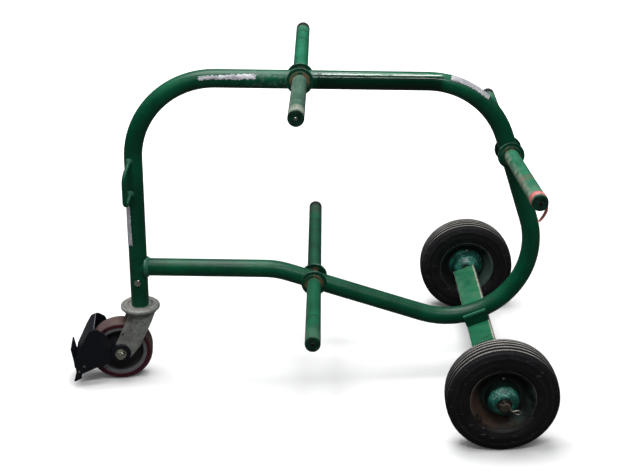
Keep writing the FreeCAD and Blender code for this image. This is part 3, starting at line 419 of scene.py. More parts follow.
def saddlePaint():
    lowest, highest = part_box("saddle_plates")

    def extras(paint, colour, rough):
        top = paint.along((0, 0, 1), (0, 0, highest.z))
        lean = paint.along((1, 0, 0), ((lowest.x + highest.x) / 2, 0, 0)) * math.tan(math.radians(21.25))
        slope = top - lean + 0.0105
        rim = paint.step(slope + paint.grain(120.0, 4.0) * 0.002, -0.0022, -0.0008)
        colour = paint.layer(colour, rim * 0.75, (0.05, 0.24, 0.15))
        return colour, rough

    # painted shade: the darker fitting enamel stands for the shade on the saddle's face under the tube
    return enamel("saddleEnamel", fittingLook, extras)


# ---- wheels ----
tyreShape = {"radius": 0.1223, "half": 0.0349, "rimHalf": 0.0234, "bead": 0.0697, "ribs": 5, "ribPitch": 0.0113,
             "ribWidth": 0.0084, "groove": 0.0022, "steps": 192}


def wheelPlace(paint, side):
    hub = wheelAxle[side]
    x = paint.along((1, 0, 0), hub)
    z = paint.along((0, 0, 1), hub)
    return x, z, paint.length(x, z), paint.along((0, 1, 0), hub)


def angleOf(paint, x, z):
    return paint.add("ShaderNodeMath", {"operation": "ARCTAN2"}, {0: z, 1: x})


def tyrePaint(side):
    paint = Paint("tyreRubber" + side.capitalize())
    x, z, out, y = wheelPlace(paint, side)
    around = angleOf(paint, x, z)
    cloud = paint.grain(26.0, 5.0, 0.65)
    fine = paint.grain(260.0, 3.0, 0.6)
    colour = paint.mix(cloud, (0.002, 0.002, 0.0034), (0.0075, 0.0065, 0.009))
    circling = paint.rings(out, 900.0, 1.3)
    brushed = paint.step(circling, 0.5, 0.72) * paint.step(paint.grain(14.0, 4.0), 0.4, 0.62)
    colour = paint.layer(colour, brushed * 0.5, (0.036, 0.034, 0.036))
    ringed = paint.band(out, 0.1036, 0.1046, 0.0004).either(paint.band(out, 0.0895, 0.0903, 0.0004) * 0.7)
    colour = paint.layer(colour, ringed * paint.step(cloud, 0.35, 0.6) * 0.6, (0.06, 0.058, 0.058))
    scuffs = paint.step(paint.grain(1.0, 3.0, 0.6, paint.stretched((0, 25, 0), (30, 30, 300))), 0.68, 0.73)
    scuffs = scuffs.either(paint.step(paint.grain(90.0, 5.0, 0.75), 0.655, 0.69))
    colour = paint.layer(colour, scuffs * 0.6, (0.2, 0.19, 0.2))
    specks = paint.step(paint.grain(330.0, 3.0, 0.6), 0.63, 0.7)
    colour = paint.layer(colour, specks * 0.35, (0.05, 0.047, 0.052))
    low = paint.step(out, 0.088, 0.074) * paint.step(cloud, 0.35, 0.65)
    colour = paint.layer(colour, low * 0.3, (0.045, 0.038, 0.032))
    tread = paint.step(out + fine * 0.0012, 0.1150, 0.1185)
    ribs = paint.add("ShaderNodeMath", {"operation": "COSINE"}, {0: y * (math.tau / tyreShape["ribPitch"])})
    worn = tread * paint.step(ribs + fine * 0.6 + cloud * 0.6, 0.95, 1.5)
    # the pale rib tops are partly wear and dust and partly painted highlight, painted brighter on the upper part of the
    # tyre
    upper = paint.step(z, 0.045, 0.112)
    dustAndPaintedHighlight = worn * (upper * 0.75 + 0.22)
    colour = paint.layer(colour, dustAndPaintedHighlight, paint.mix(cloud, (0.19, 0.18, 0.165), (0.46, 0.44, 0.4)))
    sipes = paint.add("ShaderNodeMath", {"operation": "SINE"}, {0: around * 150.0})
    hatched = paint.step(sipes, 0.45, 0.9) * tread
    colour = paint.layer(colour, hatched * 0.55, (0.008, 0.008, 0.008))
    shoulder = paint.band(out, 0.1045, 0.1155, 0.001)
    pleats = paint.step(sipes, 0.1, 0.7) * shoulder
    paint.bump(cloud * 0.5 + fine * 0.5 - hatched * 1.2 - pleats * 0.7 + circling * 0.4, 0.5, 0.0009)
    return paint.finish(colour=colour, rough=0.4 + cloud * 0.2 + tread * 0.3, gloss=0.3)


def rimPaint(side, face):
    paint = Paint("rimEnamel" + side.capitalize() + face.capitalize())
    x, z, out, y = wheelPlace(paint, side)
    cloud = paint.grain(30.0, 5.0, 0.65)
    fine = paint.grain(220.0, 4.0, 0.6)
    if face == "outer":
        colour = paint.mix(cloud, (0.003, 0.0035, 0.003), (0.012, 0.014, 0.011))
        rimmed = paint.step(out, 0.047, 0.053)
        dusty = paint.step(x * -0.8 - z, -0.01, 0.05) * paint.step(cloud + fine * 0.25, 0.45, 0.62) * rimmed
        colour = paint.layer(colour, dusty * 0.8, (0.085, 0.052, 0.038))
        # painted light: a lighter grey-green crescent on the rim well, towards +x and downward
        paintedLightCrescent = paint.step(x - z * 0.6, 0.02, 0.055) * paint.step(cloud, 0.4, 0.55) * rimmed
        colour = paint.layer(colour, paintedLightCrescent * 0.7, (0.04, 0.075, 0.065))
        lipColour = (0.2, 0.17, 0.14)
    else:
        colour = paint.mix(cloud, (0.003, 0.004, 0.004), (0.012, 0.02, 0.017))
        lit = paint.step(x * 0.9 - z * 0.7, 0.012, 0.034) * paint.step(out, 0.048, 0.053)
        colour = paint.layer(colour, lit * 0.9, paint.mix(cloud, (0.035, 0.075, 0.06), (0.1, 0.15, 0.125)))
        lipColour = (0.13, 0.15, 0.13)
    lip = paint.step(out + fine * 0.001, 0.0702, 0.0712) * paint.step(cloud, 0.32, 0.5)
    colour = paint.layer(colour, lip * 0.75, lipColour)
    spots = paint.step(paint.grain(170.0, 3.0, 0.6), 0.70, 0.73)
    colour = paint.layer(colour, spots * 0.7, (0.32, 0.33, 0.31))
    paint.bump(cloud + fine * 0.6, 0.35, 0.0006)
    return paint.finish(colour=colour, rough=0.4 + cloud * 0.25, gloss=0.35)


def bellPaint(side):
    paint = Paint("bellEnamel" + side.capitalize())
    x, z, out, y = wheelPlace(paint, side)
    cloud = paint.grain(45.0, 5.0, 0.65)
    fine = paint.grain(240.0, 4.0, 0.65)
    colour = paint.mix(paint.step(cloud, 0.35, 0.65), (0.003, 0.05, 0.038), (0.012, 0.19, 0.14))
    # painted shade: the dome's lower part is darker
    colour = paint.layer(colour, paint.step(z + cloud * 0.02, 0.006, -0.016) * 0.75, (0.006, 0.026, 0.018))
    pale = paint.step(fine + cloud * 0.4, 0.74, 0.82) * paint.step(paint.upward(), 0.0, 0.6)
    colour = paint.layer(colour, pale * 0.75, (0.36, 0.55, 0.48))
    blots = paint.step(paint.grain(120.0, 4.0, 0.7), 0.56, 0.62)
    colour = paint.layer(colour, blots * 0.7, (0.004, 0.022, 0.018))
    facing = paint.step(y * (1.0 if side == "left" else -1.0), -0.001, 0.001)  # the side towards the other wheel
    edge = out + fine * 0.0012 - facing * 0.0105
    colour = paint.layer(colour, paint.step(edge, 0.0335, 0.0352), (0.004, 0.012, 0.009))
    # painted shade: the mouth round the axle is painted near-black
    mouth = paint.step(out + cloud * 0.004, 0.0205, 0.0178)
    colour = paint.layer(colour, mouth * 0.85, (0.014, 0.012, 0.01))
    paint.bump(cloud + fine * 0.5 - pale, 0.4, 0.0006)
    return paint.finish(colour=colour, rough=0.3 + cloud * 0.25 + mouth * 0.3, gloss=0.45)


def rivetPaint(side):
    paint = Paint("rivetSteel" + side.capitalize())
    x, z, out, y = wheelPlace(paint, side)
    # painted light: rivet heads on the upper part of the hub are painted bright and metallic, the lower ones dark
    bright = paint.step(z - abs(x) * 0.4, 0.018, 0.03)
    fine = paint.grain(400.0, 3.0, 0.6)
    colour = paint.mix(bright, (0.012, 0.014, 0.012), paint.mix(fine, (0.3, 0.3, 0.29), (0.75, 0.75, 0.72)))
    return paint.finish(colour=colour, rough=0.4 + fine * 0.1, metal=bright * 0.6)


# ---- caster ----
def zincPaint():
    paint = Paint("dullZinc")
    spangle = paint.cells(150.0)
    cloud = paint.grain(30.0, 6.0, 0.65)
    fine = paint.grain(300.0, 3.0, 0.7)
    colour = paint.mix(paint.step(cloud, 0.32, 0.68), (0.22, 0.235, 0.215), (0.45, 0.46, 0.43))
    colour = paint.layer(colour, paint.step(spangle + fine * 0.4, 0.45, 0.85) * 0.6, (0.47, 0.48, 0.455))
    colour = paint.layer(colour, paint.step(fine, 0.54, 0.68) * 0.6, (0.07, 0.075, 0.066))
    pits = paint.step(paint.grain(130.0, 4.0, 0.7), 0.63, 0.67)
    colour = paint.layer(colour, pits * 0.7, (0.03, 0.024, 0.02))
    smudge = paint.spot(onCaster(0.026, 0.090, -0.034), 0.006, 0.011)
    smudge = smudge.either(paint.spot(onCaster(0.040, 0.080, -0.034), 0.002, 0.007) * 0.8)
    colour = paint.layer(colour, smudge * paint.step(cloud + fine * 0.3, 0.4, 0.62), (0.018, 0.013, 0.012))
    under = paint.along(legUp, swivel["pos_m"])
    grime = paint.step(under, -0.004, -0.010) * paint.step(cloud, 0.42, 0.66)
    inside = paint.step(under, 0.0, 0.004) * paint.step(cloud + fine * 0.3, 0.5, 0.66)
    colour = paint.layer(colour, grime.either(inside) * 0.6, (0.075, 0.062, 0.05))
    paint.bump(cloud + fine * 0.8 - pits, 0.5, 0.0009)
    return paint.finish(colour=colour, rough=0.5 + fine * 0.2, metal=0.25)


def steelPaint(name, light, dark, rusty, rough):
    paint = Paint(name)
    cloud = paint.grain(90.0, 5.0, 0.65)
    fine = paint.grain(600.0, 3.0, 0.6)
    colour = paint.mix(cloud, dark, light)
    brown = paint.step(paint.grain(160.0, 5.0, 0.7), 0.75 - rusty * 0.4, 0.82 - rusty * 0.4)
    colour = paint.layer(colour, brown, paint.mix(fine, rust, rustPale))
    paint.bump(fine * 0.5 + brown * 1.2, 0.35, 0.0005)
    return paint.finish(colour=colour, rough=brown * 0.4 + cloud * 0.15 + rough, metal=1.0 - brown * 0.8)


def casterTreadPaint():
    paint = Paint("casterUrethane")
    out = paint.length(paint.along(casterBack, casterAxle), paint.along(casterUp, casterAxle))
    cloud = paint.grain(48.0, 5.0, 0.65)
    fine = paint.grain(330.0, 4.0, 0.65)
    colour = paint.mix(cloud, (0.028, 0.002, 0.008), (0.095, 0.009, 0.022))
    worn = paint.step(out + fine * 0.0022 + cloud * 0.002, 0.0715, 0.0745)
    colour = paint.layer(colour, worn * 0.9, paint.mix(cloud, (0.03, 0.018, 0.017), (0.15, 0.1, 0.085)))
    dark = worn * paint.step(paint.grain(120.0, 5.0, 0.7), 0.6, 0.68)
    colour = paint.layer(colour, dark * 0.7, (0.04, 0.03, 0.03))
    paint.bump(cloud * 0.5 + fine - dark, 0.4, 0.0006)
    return paint.finish(colour=colour, rough=0.42 + worn * 0.3)


def casterCorePaint():
    paint = Paint("casterCore")
    out = paint.length(paint.along(casterBack, casterAxle), paint.along(casterUp, casterAxle))
    cloud = paint.grain(50.0, 5.0, 0.65)
    fine = paint.grain(300.0, 4.0, 0.65)
    colour = paint.mix(cloud, (0.09, 0.09, 0.1), (0.28, 0.28, 0.3))
    # painted shadow: the core's recessed inner part is painted near-black
    inside = paint.step(out, 0.0545, 0.0515)
    colour = paint.layer(colour, inside * 0.92, (0.007, 0.007, 0.009))
    smeared = paint.step(paint.rings(out, 500.0, 4.4) + fine * 0.3, 0.68, 0.76) * (1.0 - inside)
    colour = paint.layer(colour, smeared * 0.5, (0.06, 0.05, 0.05))
    paint.bump(cloud + fine, 0.3, 0.0005)
    return paint.finish(colour=colour, rough=0.5 + fine * 0.2)


def brakePaint():
    paint = Paint("brakeBlack")
    cloud = paint.grain(22.0, 5.0, 0.6)
    fine = paint.grain(280.0, 4.0, 0.65)
    colour = paint.mix(cloud, (0.002, 0.0025, 0.006), (0.006, 0.007, 0.014))
    lines = paint.scratches((0, 30, 0), 20, 700, 0.69).either(paint.scratches((0, 115, 10), 20, 900, 0.70))
    colour = paint.layer(colour, lines * 0.5, (0.07, 0.075, 0.09))
    chips = paint.step(paint.grain(110.0, 5.0, 0.75), 0.72, 0.74)
    colour = paint.layer(colour, chips, (0.2, 0.2, 0.2))
    paint.bump(fine * 0.5 + cloud - lines - chips * 1.5, 0.25, 0.0006)
    return paint.finish(colour=colour, rough=0.3 + cloud * 0.2 + chips * 0.2, gloss=0.4)


# ---- paints go on the parts ----
def coat(name, material):
    mesh = nodes[name].data if name in nodes else bpy.data.objects[name].data
    mesh.materials.clear()
    mesh.materials.append(material)


fitting = enamel("fittingEnamel", fittingLook)
member = memberPaint()
capFinish = capPaint()
zinc = zincPaint()
brightZinc = steelPaint("brightZinc", (0.72, 0.7, 0.64), (0.38, 0.36, 0.32), 0.1, 0.2)
oldSteel = steelPaint("oldSteel", (0.2, 0.18, 0.15), (0.07, 0.062, 0.05), 0.5, 0.4)
darkSteel = steelPaint("darkSteel", (0.07, 0.03, 0.025), (0.02, 0.014, 0.012), 0.3, 0.4)
brake = brakePaint()

for name in ("frame_tube", "pull_loop"):
    coat(name, loopPaint)
for name, look in spindles.items():
    coat(name, spindlePaint(name, mounts[name + "_reel"], look))
for place in ("top", "rear", "lower"):
    coat(place + "_flanges", flangePaint(place + "FlangeEnamel", mounts[place + "_spindle_left_reel"]))
coat("spindle_caps", capFinish)
for name in ("cross_member", "member_end_plates"):
    coat(name, member)
coat("saddle_plates", saddlePaint())
for side in ("left", "right"):
    coat("rim_outer_" + side, rimPaint(side, "outer"))
    coat("rim_inner_" + side, rimPaint(side, "inner"))
    coat("hub_bells_" + side, bellPaint(side))
    coat("hub_tube_" + side, oldSteel)
    coat("wheel_bearings_" + side, oldSteel)
    coat("hub_rivets_" + side, rivetPaint(side))
for name in ("fork", "swivel_plate"):
    coat(name, zinc)
coat("caster_tread", casterTreadPaint())
coat("caster_core", casterCorePaint())
for name in ("brake_cheek_left", "brake_cheek_right", "brake_hood", "brake_pedal", "brake_shoe"):
    coat(name, brake)
for name in ("axle", "axle_spacers", "spindle_pins"):
    coat(name, oldSteel)
screw = nodes["cap_screws"].data
screw.materials.clear()
for material in (darkSteel, brightZinc):
    screw.materials.append(material)
topTip = Vector(mounts["top_spindle_left_reel"]["pos_m"])
for face in screw.polygons:
    face.material_index = 1 if face.center.y < 0 and (face.center - topTip).length < 0.3 else 0
for name in ("stem_bolt", "stem_nut", "caster_stem", "king_pin", "king_nut", "swivel_balls", "axle_sleeve",
             "brake_bushings", "axle_washers", "caster_bolt", "caster_nut", "caster_bearing", "brake_cross_pins"):
    coat(name, brightZinc)
print("paints are on the parts")


# ---- new pieces ----
def finishPiece(name, bm, material, body, smooth=True):
    mesh = bpy.data.meshes.new(name)
    bm.to_mesh(mesh)
    bm.free()
    mesh.materials.append(material)
    for face in mesh.polygons:
        face.use_smooth = smooth
    piece = bpy.data.objects.new(name, mesh)
    bpy.context.scene.collection.objects.link(piece)
    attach(piece, body)
    return piece


def wire(name, points, thickness, material, body, widths=None, closed=False, order=4):
    # a round wire along a smooth line, as a mesh whose object stays at the origin
    curve = bpy.data.curves.new(name, "CURVE")
    curve.dimensions = "3D"
    curve.bevel_depth = thickness / 2
    curve.bevel_resolution = 4
    curve.use_fill_caps = True
    spline = curve.splines.new("NURBS")
    spline.points.add(len(points) - 1)
    for index, point in enumerate(points):
        spline.points[index].co = (*point, 1.0)
        spline.points[index].radius = widths[index] if widths else 1.0
    spline.order_u = order
    spline.use_endpoint_u = not closed
    spline.use_cyclic_u = closed
    spline.resolution_u = 8
    source = bpy.data.objects.new(name + "Line", curve)
    bpy.context.scene.collection.objects.link(source)
    bpy.context.view_layer.update()
    mesh = bpy.data.meshes.new_from_object(source)
    bpy.data.objects.remove(source)
    mesh.name = name
    mesh.materials.clear()
    mesh.materials.append(material)
    for face in mesh.polygons:
        face.use_smooth = True
    piece = bpy.data.objects.new(name, mesh)
    bpy.context.scene.collection.objects.link(piece)
    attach(piece, body)
    return piece


# a tyre: its section is spun round the axle
def tyreSection(shape):
    outer = shape["radius"]
    half = shape["half"]
    bead = shape["bead"]
    # radius and distance from the middle plane, from the bead round the wall to the tread's edge
    wall = [(bead, shape["rimHalf"]), (bead + 0.003, 0.0268), (0.0765, 0.0296), (0.0785, 0.0313), (0.0795, 0.0311),
            (0.0815, 0.0326), (0.0880, 0.0343), (0.0895, 0.0349), (0.0905, 0.0347), (0.0915, 0.0349), (0.0925, 0.0346),
            (0.0990, 0.0346), (0.1035, 0.0341), (0.1042, 0.0345), (0.1052, 0.0343), (0.1058, 0.0338),
            (0.1100, 0.0329), (0.1140, 0.0313), (0.1165, 0.0300)]
    crown = []
    for rib in range(shape["ribs"]):
        middle = shape["ribPitch"] * ((shape["ribs"] - 1) / 2 - rib)
        drop = 0.0030 * (middle / half) ** 2 * 1.4
        top = outer - drop
        reach = shape["ribWidth"] / 2
        crown += [(top - shape["groove"], middle + reach + 0.0004), (top - 0.0004, middle + reach),
                  (top, middle + reach - 0.0006), (top, middle - reach + 0.0006), (top - 0.0004, middle - reach),
                  (top - shape["groove"], middle - reach - 0.0004)]
    mirrored = [(radius, -across) for radius, across in reversed(wall)]
    return wall + crown + mirrored


def makeTyre(side, material):
    hub = wheelAxle[side]
    bm = bmesh.new()
    chain = [bm.verts.new(hub + Vector((0, across, radius))) for radius, across in tyreSection(tyreShape)]
    inner = [(0.0665, -0.0205), (0.0545, -0.002), (0.0545, 0.002), (0.0665, 0.0205)]
    chain += [bm.verts.new(hub + Vector((0, across, radius))) for radius, across in inner]
    edges = [bm.edges.new((chain[index], chain[(index + 1) % len(chain)])) for index in range(len(chain))]
    bmesh.ops.spin(bm, geom=chain + edges, cent=hub, axis=(0, 1, 0), angle=math.tau, steps=tyreShape["steps"],
                   use_merge=True)
    bmesh.ops.remove_doubles(bm, verts=bm.verts, dist=0.00001)
    bmesh.ops.recalc_face_normals(bm, faces=bm.faces)
    piece = finishPiece("tyreShell_" + side, bm, material, "wheel_" + side)
    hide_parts("tyre_" + side)
    return piece


for side in ("left", "right"):
    makeTyre(side, tyrePaint(side))
print("tyres made")


# a torn label is a thin patch wrapped on the tube, ragged along its edges
def labelPaint(name, base, shade, bare):
    paint = Paint(name)
    cloud = paint.grain(38.0, 5.0, 0.65)
    fine = paint.grain(300.0, 4.0, 0.65)
    colour = paint.mix(paint.step(cloud, 0.35, 0.62), shade, base)
    rubWearAndPaintedHighlight = paint.step(paint.grain(1.0, 5.0, 0.7, paint.stretched((0, 0, 0), (60, 260, 260))), 0.54, 0.6)
    colour = paint.layer(colour, rubWearAndPaintedHighlight * 0.8, bare)
    creases = paint.step(paint.grain(1.0, 3.0, 0.6, paint.stretched((0, 20, 0), (50, 400, 400))), 0.6, 0.66)
    colour = paint.layer(colour, creases * 0.6, (0.7, 0.7, 0.74))
    paint.bump(cloud + fine * 0.6 + creases, 0.5, 0.0006)
    return paint.finish(colour=colour, rough=0.4 + cloud * 0.2)


def runPoint(kind, s):
    # where the tube's axis is and which way is out of the loop, at a distance along the run
    if kind == "top":
        return onLoop(s, topRun), legUp
    if kind == "leg":
        return onLoop(0, s), -rearward
    turn = s / bendRadius
    out = legUp * math.cos(turn) + rearward * math.sin(turn)
    return onLoop(topCorner - cornerReach, topRun - bendRadius) + out * bendRadius, out


labels = {
    "labelTop": {"run": "top", "from": 0.156, "to": 0.284, "low": (88, 78), "high": (66, 44), "ragged": 7, "seed": 3,
                 "base": (0.68, 0.68, 0.72), "shade": (0.26, 0.27, 0.3), "bare": (0.02, 0.04, 0.032)},
    "labelBend": {"run": "bend", "from": 0.047, "to": 0.138, "low": (52, 50), "high": (-62, -70), "ragged": 6, "seed": 8,
                  "base": (0.42, 0.41, 0.44), "shade": (0.26, 0.26, 0.28), "bare": (0.2, 0.21, 0.22)},
    "labelLeg": {"run": "leg", "from": 0.060, "to": 0.158, "low": (68, 62), "high": (-60, -62), "ragged": 4, "seed": 5,
                 "base": (0.75, 0.75, 0.78), "shade": (0.42, 0.42, 0.46), "bare": (0.34, 0.36, 0.37)},
}
labelSheet = {"columns": 220, "rows": 16, "lift": 0.0006, "thick": 0.0004, "end": 0.006}


def makeLabel(name, look):
    inward = {}
    bm = bmesh.new()
    bmesh.ops.create_grid(bm, x_segments=labelSheet["columns"], y_segments=labelSheet["rows"], size=0.5)
    span = look["to"] - look["from"]
    for vert in bm.verts:
        s = vert.co.x + 0.5
        t = vert.co.y + 0.5
        nearEnd = (abs(s - 0.5) * 2) ** 6
        reach = look["from"] + span * s + labelSheet["end"] * nearEnd * noise.noise((t * 5, look["seed"], 0))
        low = look["low"][0] + (look["low"][1] - look["low"][0]) * s
        high = look["high"][0] + (look["high"][1] - look["high"][0]) * s
        low += look["ragged"] * noise.fractal((s * 34, look["seed"], 0.5), 0.8, 2.0, 6)
        high += look["ragged"] * noise.fractal((s * 26, look["seed"], 7.5), 0.8, 2.0, 6)
        turn = math.radians(low + (high - low) * t)
        centre, out = runPoint(look["run"], reach)
        lifted = labelSheet["lift"] + 0.0002 * noise.noise((s * 40, t * 8, look["seed"]))
        outward = out * math.cos(turn) + Vector((0, -1, 0)) * math.sin(turn)
        vert.co = centre + outward * (tubeRadius + lifted)
        inward[vert.co.copy().freeze()] = outward * -labelSheet["thick"]
    made = bmesh.ops.extrude_face_region(bm, geom=bm.faces[:])["geom"]
    for vert in made:
        if isinstance(vert, bmesh.types.BMVert):
            vert.co += inward[vert.co.copy().freeze()]
    bmesh.ops.recalc_face_normals(bm, faces=bm.faces)
    paper = labelPaint(name + "Paper", look["base"], look["shade"], look["bare"])
    return finishPiece(name, bm, paper, "frame")


for name, look in labels.items():
    makeLabel(name, look)
print("labels made")


# weld bead where the lower run meets the leg: overlapping ripples round the joint
def weldPaint():
    paint = Paint("weldEnamel")
    fine = paint.grain(300.0, 4.0, 0.65)
    colour = paint.mix(fine, (0.006, 0.08, 0.045), (0.03, 0.18, 0.11))
    colour = paint.layer(colour, paint.step(fine, 0.62, 0.7) * 0.6, (0.2, 0.3, 0.25))
    paint.bump(fine, 0.5, 0.0006)
    return paint.finish(colour=colour, rough=0.38 + fine * 0.15, coat=0.2)


weld = {"beads": 44, "thick": 0.0056, "spread": 0.0215}


def makeWelds(material):
    count = weld["beads"] * 3
    points = []
    widths = []
    for index in range(count):
        turn = math.tau * index / count
        y = weld["spread"] * math.sin(turn)
        z = weld["spread"] * math.cos(turn)
        points.append(onLoop(tubeRadius + 0.0012, z, y))
        widths.append(1.0 + 0.22 * math.cos(turn * weld["beads"]))
    wire("weldRipples", points, weld["thick"], material, "frame", widths, closed=True, order=3)


weldFinish = weldPaint()
makeWelds(weldFinish)
coat("weld_beads", weldFinish)

# hairpin clips: a straight leg through the axle, a ring at the end and a bowed leg back over it
hairpin = {"thick": 0.0028, "below": 30}


def makeHairpin(side, material):
    end = 1 if side == "right" else -1
    lowest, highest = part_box("axle")
    lengthwise = Vector((0, 1 if end > 0 else -1, 0))
    middle = Vector(((lowest.x + highest.x) / 2, (highest.y - 0.006) if end > 0 else (lowest.y + 0.006),
                     (lowest.z + highest.z) / 2))
    down = Vector((math.cos(math.radians(hairpin["below"])), 0, -math.sin(math.radians(hairpin["below"]))))
    over = lengthwise.cross(down)
    line = [(-0.0145, 0, 0), (0.0, 0, 0), (0.012, 0, 0), (0.018, 0.0008, 0), (0.024, -0.0030, 0.0005),
            (0.031, -0.0042, 0.001), (0.037, 0.0005, 0.0015), (0.035, 0.0075, 0.0022), (0.028, 0.0078, 0.003),
            (0.022, 0.0025, 0.0036), (0.016, -0.0025, 0.0042), (0.010, 0.0035, 0.006), (0.005, 0.0096, 0.0075),
            (-0.001, 0.0112, 0.0078), (-0.007, 0.0098, 0.0074), (-0.011, 0.0125, 0.0068), (-0.0145, 0.0155, 0.006)]
    points = [middle + down * a + over * b + lengthwise * c for a, b, c in line]
    return wire("hairpin_" + side, points, hairpin["thick"], material, "frame")


wireSteel = steelPaint("wireSteel", (0.5, 0.47, 0.43), (0.25, 0.22, 0.19), 0.3, 0.35)
pins = [makeHairpin(side, wireSteel) for side in ("left", "right")]
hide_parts("hairpin_clips")
print("weld and hairpins made")


# tape round the rear spindle, wound a few times, with a loose end
def tapePaint():
    paint = Paint("redTape")
    cloud = paint.grain(60.0, 5.0, 0.6)
    fine = paint.grain(420.0, 3.0, 0.6)
    colour = paint.mix(cloud, (0.48, 0.085, 0.085), (0.66, 0.2, 0.18))
    colour = paint.layer(colour, paint.step(fine + cloud * 0.5, 0.78, 0.9) * 0.5, (0.72, 0.45, 0.4))
    paint.bump(cloud + fine * 0.3, 0.35, 0.0006)
    return paint.finish(colour=colour, rough=0.42 + cloud * 0.15)


tape = {"inset": 0.009, "width": 0.019, "turns": 2.4, "thick": 0.00022, "tailWidth": 0.0075}


def makeTape(material):
    mount = mounts["rear_spindle_left_reel"]
    axis = Vector(mount["axis"]).normalized()
    tip = Vector(mount["pos_m"]) + axis * (mount["dims"]["length_mm"] / 2000 + 0.004)
    middle = tip - axis * (tape["inset"] + tape["width"] / 2)
    lift = rearward.cross(axis)
    if lift.z < 0:
        lift = -lift
    across = lift.cross(axis).normalized()
    across = across if across.x > 0 else -across
    bm = bmesh.new()
    bmesh.ops.create_grid(bm, x_segments=220, y_segments=6, size=0.5)
    for vert in bm.verts:
        s = vert.co.x + 0.5
        turn = math.tau * tape["turns"] * s
        wander = 0.0012 * math.sin(turn * 0.45)
        crumple = 0.0002 * noise.noise((s * 60, vert.co.y * 3, 1.5))
        radius = 0.0167 + 0.00012 + tape["thick"] * 1.6 * tape["turns"] * s + max(crumple, -0.00008)
        vert.co = middle + axis * (vert.co.y * tape["width"] + wander) + (
            lift * math.cos(turn) + across * math.sin(turn)) * radius
    bmesh.ops.solidify(bm, geom=bm.faces, thickness=tape["thick"])
    bmesh.ops.recalc_face_normals(bm, faces=bm.faces)
    band = finishPiece("tapeBand", bm, material, "frame")
    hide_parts("tape_band")
    start = middle + across * 0.0165 - lift * 0.004
    route = [start, start - Vector((0, 0, 0.009)), start - Vector((0.0015, 0.001, 0.018)),
             start - Vector((0.006, 0.002, 0.027)), start - Vector((0.0115, 0.0035, 0.034)),
             start - Vector((0.0155, 0.006, 0.0375))]
    bm = bmesh.new()
    bmesh.ops.create_grid(bm, x_segments=60, y_segments=4, size=0.5)
    for vert in bm.verts:
        s = (vert.co.x + 0.5) * (len(route) - 1)
        index = min(int(s), len(route) - 2)
        share = s - index
        before = route[max(index - 1, 0)]
        after = route[min(index + 2, len(route) - 1)]
        here = route[index]
        ahead = route[index + 1]
        point = 0.5 * (2 * here + (ahead - before) * share + (2 * before - 5 * here + 4 * ahead - after) * share ** 2
                       + (3 * here - before - 3 * ahead + after) * share ** 3)
        twist = 0.5 + s * 0.22
        wide = (axis * math.cos(twist) + across * math.sin(twist)) * tape["tailWidth"] * vert.co.y
        vert.co = point + wide * (1 - 0.12 * s / 5)
    bmesh.ops.solidify(bm, geom=bm.faces, thickness=tape["thick"])
    bmesh.ops.recalc_face_normals(bm, faces=bm.faces)
    finishPiece("tapeTail", bm, material, "frame")


makeTape(tapePaint())

# the toothed strip along the brake hood's inner edge
teeth = {"count": 19, "spread": 0.041, "size": (0.0024, 0.0026, 0.0046), "at": (-0.0610, 0.0700)}


def makeTeeth(material):
    bm = bmesh.new()
    for index in range(teeth["count"]):
        y = teeth["spread"] * (2 * index / (teeth["count"] - 1) - 1)
        made = bmesh.ops.create_cube(bm, size=1.0)["verts"]
        bmesh.ops.scale(bm, vec=teeth["size"], verts=made)
        spin = Matrix((casterBack, casterSide, casterUp)).transposed()
        bmesh.ops.rotate(bm, cent=(0, 0, 0), matrix=spin, verts=made)
        bmesh.ops.translate(bm, vec=onCaster(*teeth["at"], y), verts=made)
    bmesh.ops.bevel(bm, geom=bm.edges[:], offset=0.0005, segments=2, profile=0.5, affect="EDGES", material=-1)
    finishPiece("brakeTeeth", bm, material, "brake")


makeTeeth(steelPaint("toothSteel", (0.3, 0.3, 0.3), (0.14, 0.14, 0.15), 0.15, 0.4))
print("tape and brake teeth made")


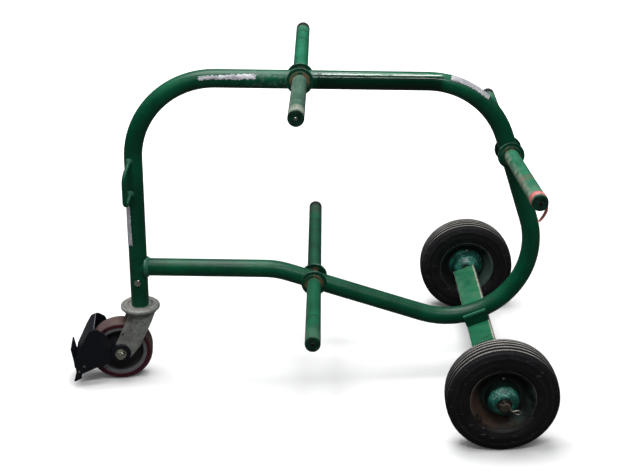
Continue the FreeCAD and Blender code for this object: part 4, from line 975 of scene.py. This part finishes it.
# ---- floor and backdrop ----
def floorPaint():
    paint = Paint("floorWhite")
    seen = paint.add("ShaderNodeLightPath", {}, {}, "Is Camera Ray")
    away = paint.length(paint.along((1, 0, 0), (0, 0, 0)), paint.along((0, 1, 0), (0, 0, 0)))
    far = paint.step(away, 0.7, 2.6) * seen
    return paint.finish(
        colour=paint.mix(seen, (0.06, 0.065, 0.06), (0.94, 0.94, 0.94)), rough=0.95, gloss=0.0,
        shine=paint.mix(far, (0.03, 0.03, 0.03), (0.75, 0.75, 0.75)), shineBy=1.0)


bm = bmesh.new()
bmesh.ops.create_grid(bm, x_segments=1, y_segments=1, size=30.0)
floorMesh = bpy.data.meshes.new("floor")
bm.to_mesh(floorMesh)
bm.free()
floorMesh.materials.append(floorPaint())
floor = bpy.data.objects.new("floor", floorMesh)
floor.location.z = -0.0002
bpy.context.scene.collection.objects.link(floor)

world = bpy.data.worlds.new("studio")
world.use_nodes = True
bpy.context.scene.world = world
tree = world.node_tree
place = tree.nodes.new("ShaderNodeTexCoord")
split = tree.nodes.new("ShaderNodeSeparateXYZ")
ramp = tree.nodes.new("ShaderNodeValToRGB")
sky = ((0.0, 0.03), (0.25, 0.06), (0.6, 0.4), (1.0, 0.9))  # height of the direction and how bright it is
while len(ramp.color_ramp.elements) < len(sky):
    ramp.color_ramp.elements.new(0.5)
for stop, (height, bright) in zip(ramp.color_ramp.elements, sky):
    stop.position = height
    stop.color = (bright, bright * 1.01, bright * 1.03, 1)
tree.links.new(place.outputs["Generated"], split.inputs[0])
tree.links.new(split.outputs["Z"], ramp.inputs[0])
sight = tree.nodes.new("ShaderNodeLightPath")
backdrop = tree.nodes.new("ShaderNodeMix")
backdrop.data_type = "RGBA"
seenWhite = (1.45, 1.45, 1.45, 1)  # the backdrop is seen white, and lights by the sky's ramp
for socket in backdrop.inputs:
    if socket.name == "B" and socket.type == "RGBA":
        socket.default_value = seenWhite
    if socket.name == "A" and socket.type == "RGBA":
        tree.links.new(ramp.outputs[0], socket)
tree.links.new(sight.outputs["Is Camera Ray"], backdrop.inputs[0])
for socket in backdrop.outputs:
    if socket.type == "RGBA":
        tree.links.new(socket, tree.nodes["Background"].inputs[0])
tree.nodes["Background"].inputs[1].default_value = 0.7
bpy.context.scene.view_settings.view_transform = "Standard"
print("floor and light made")
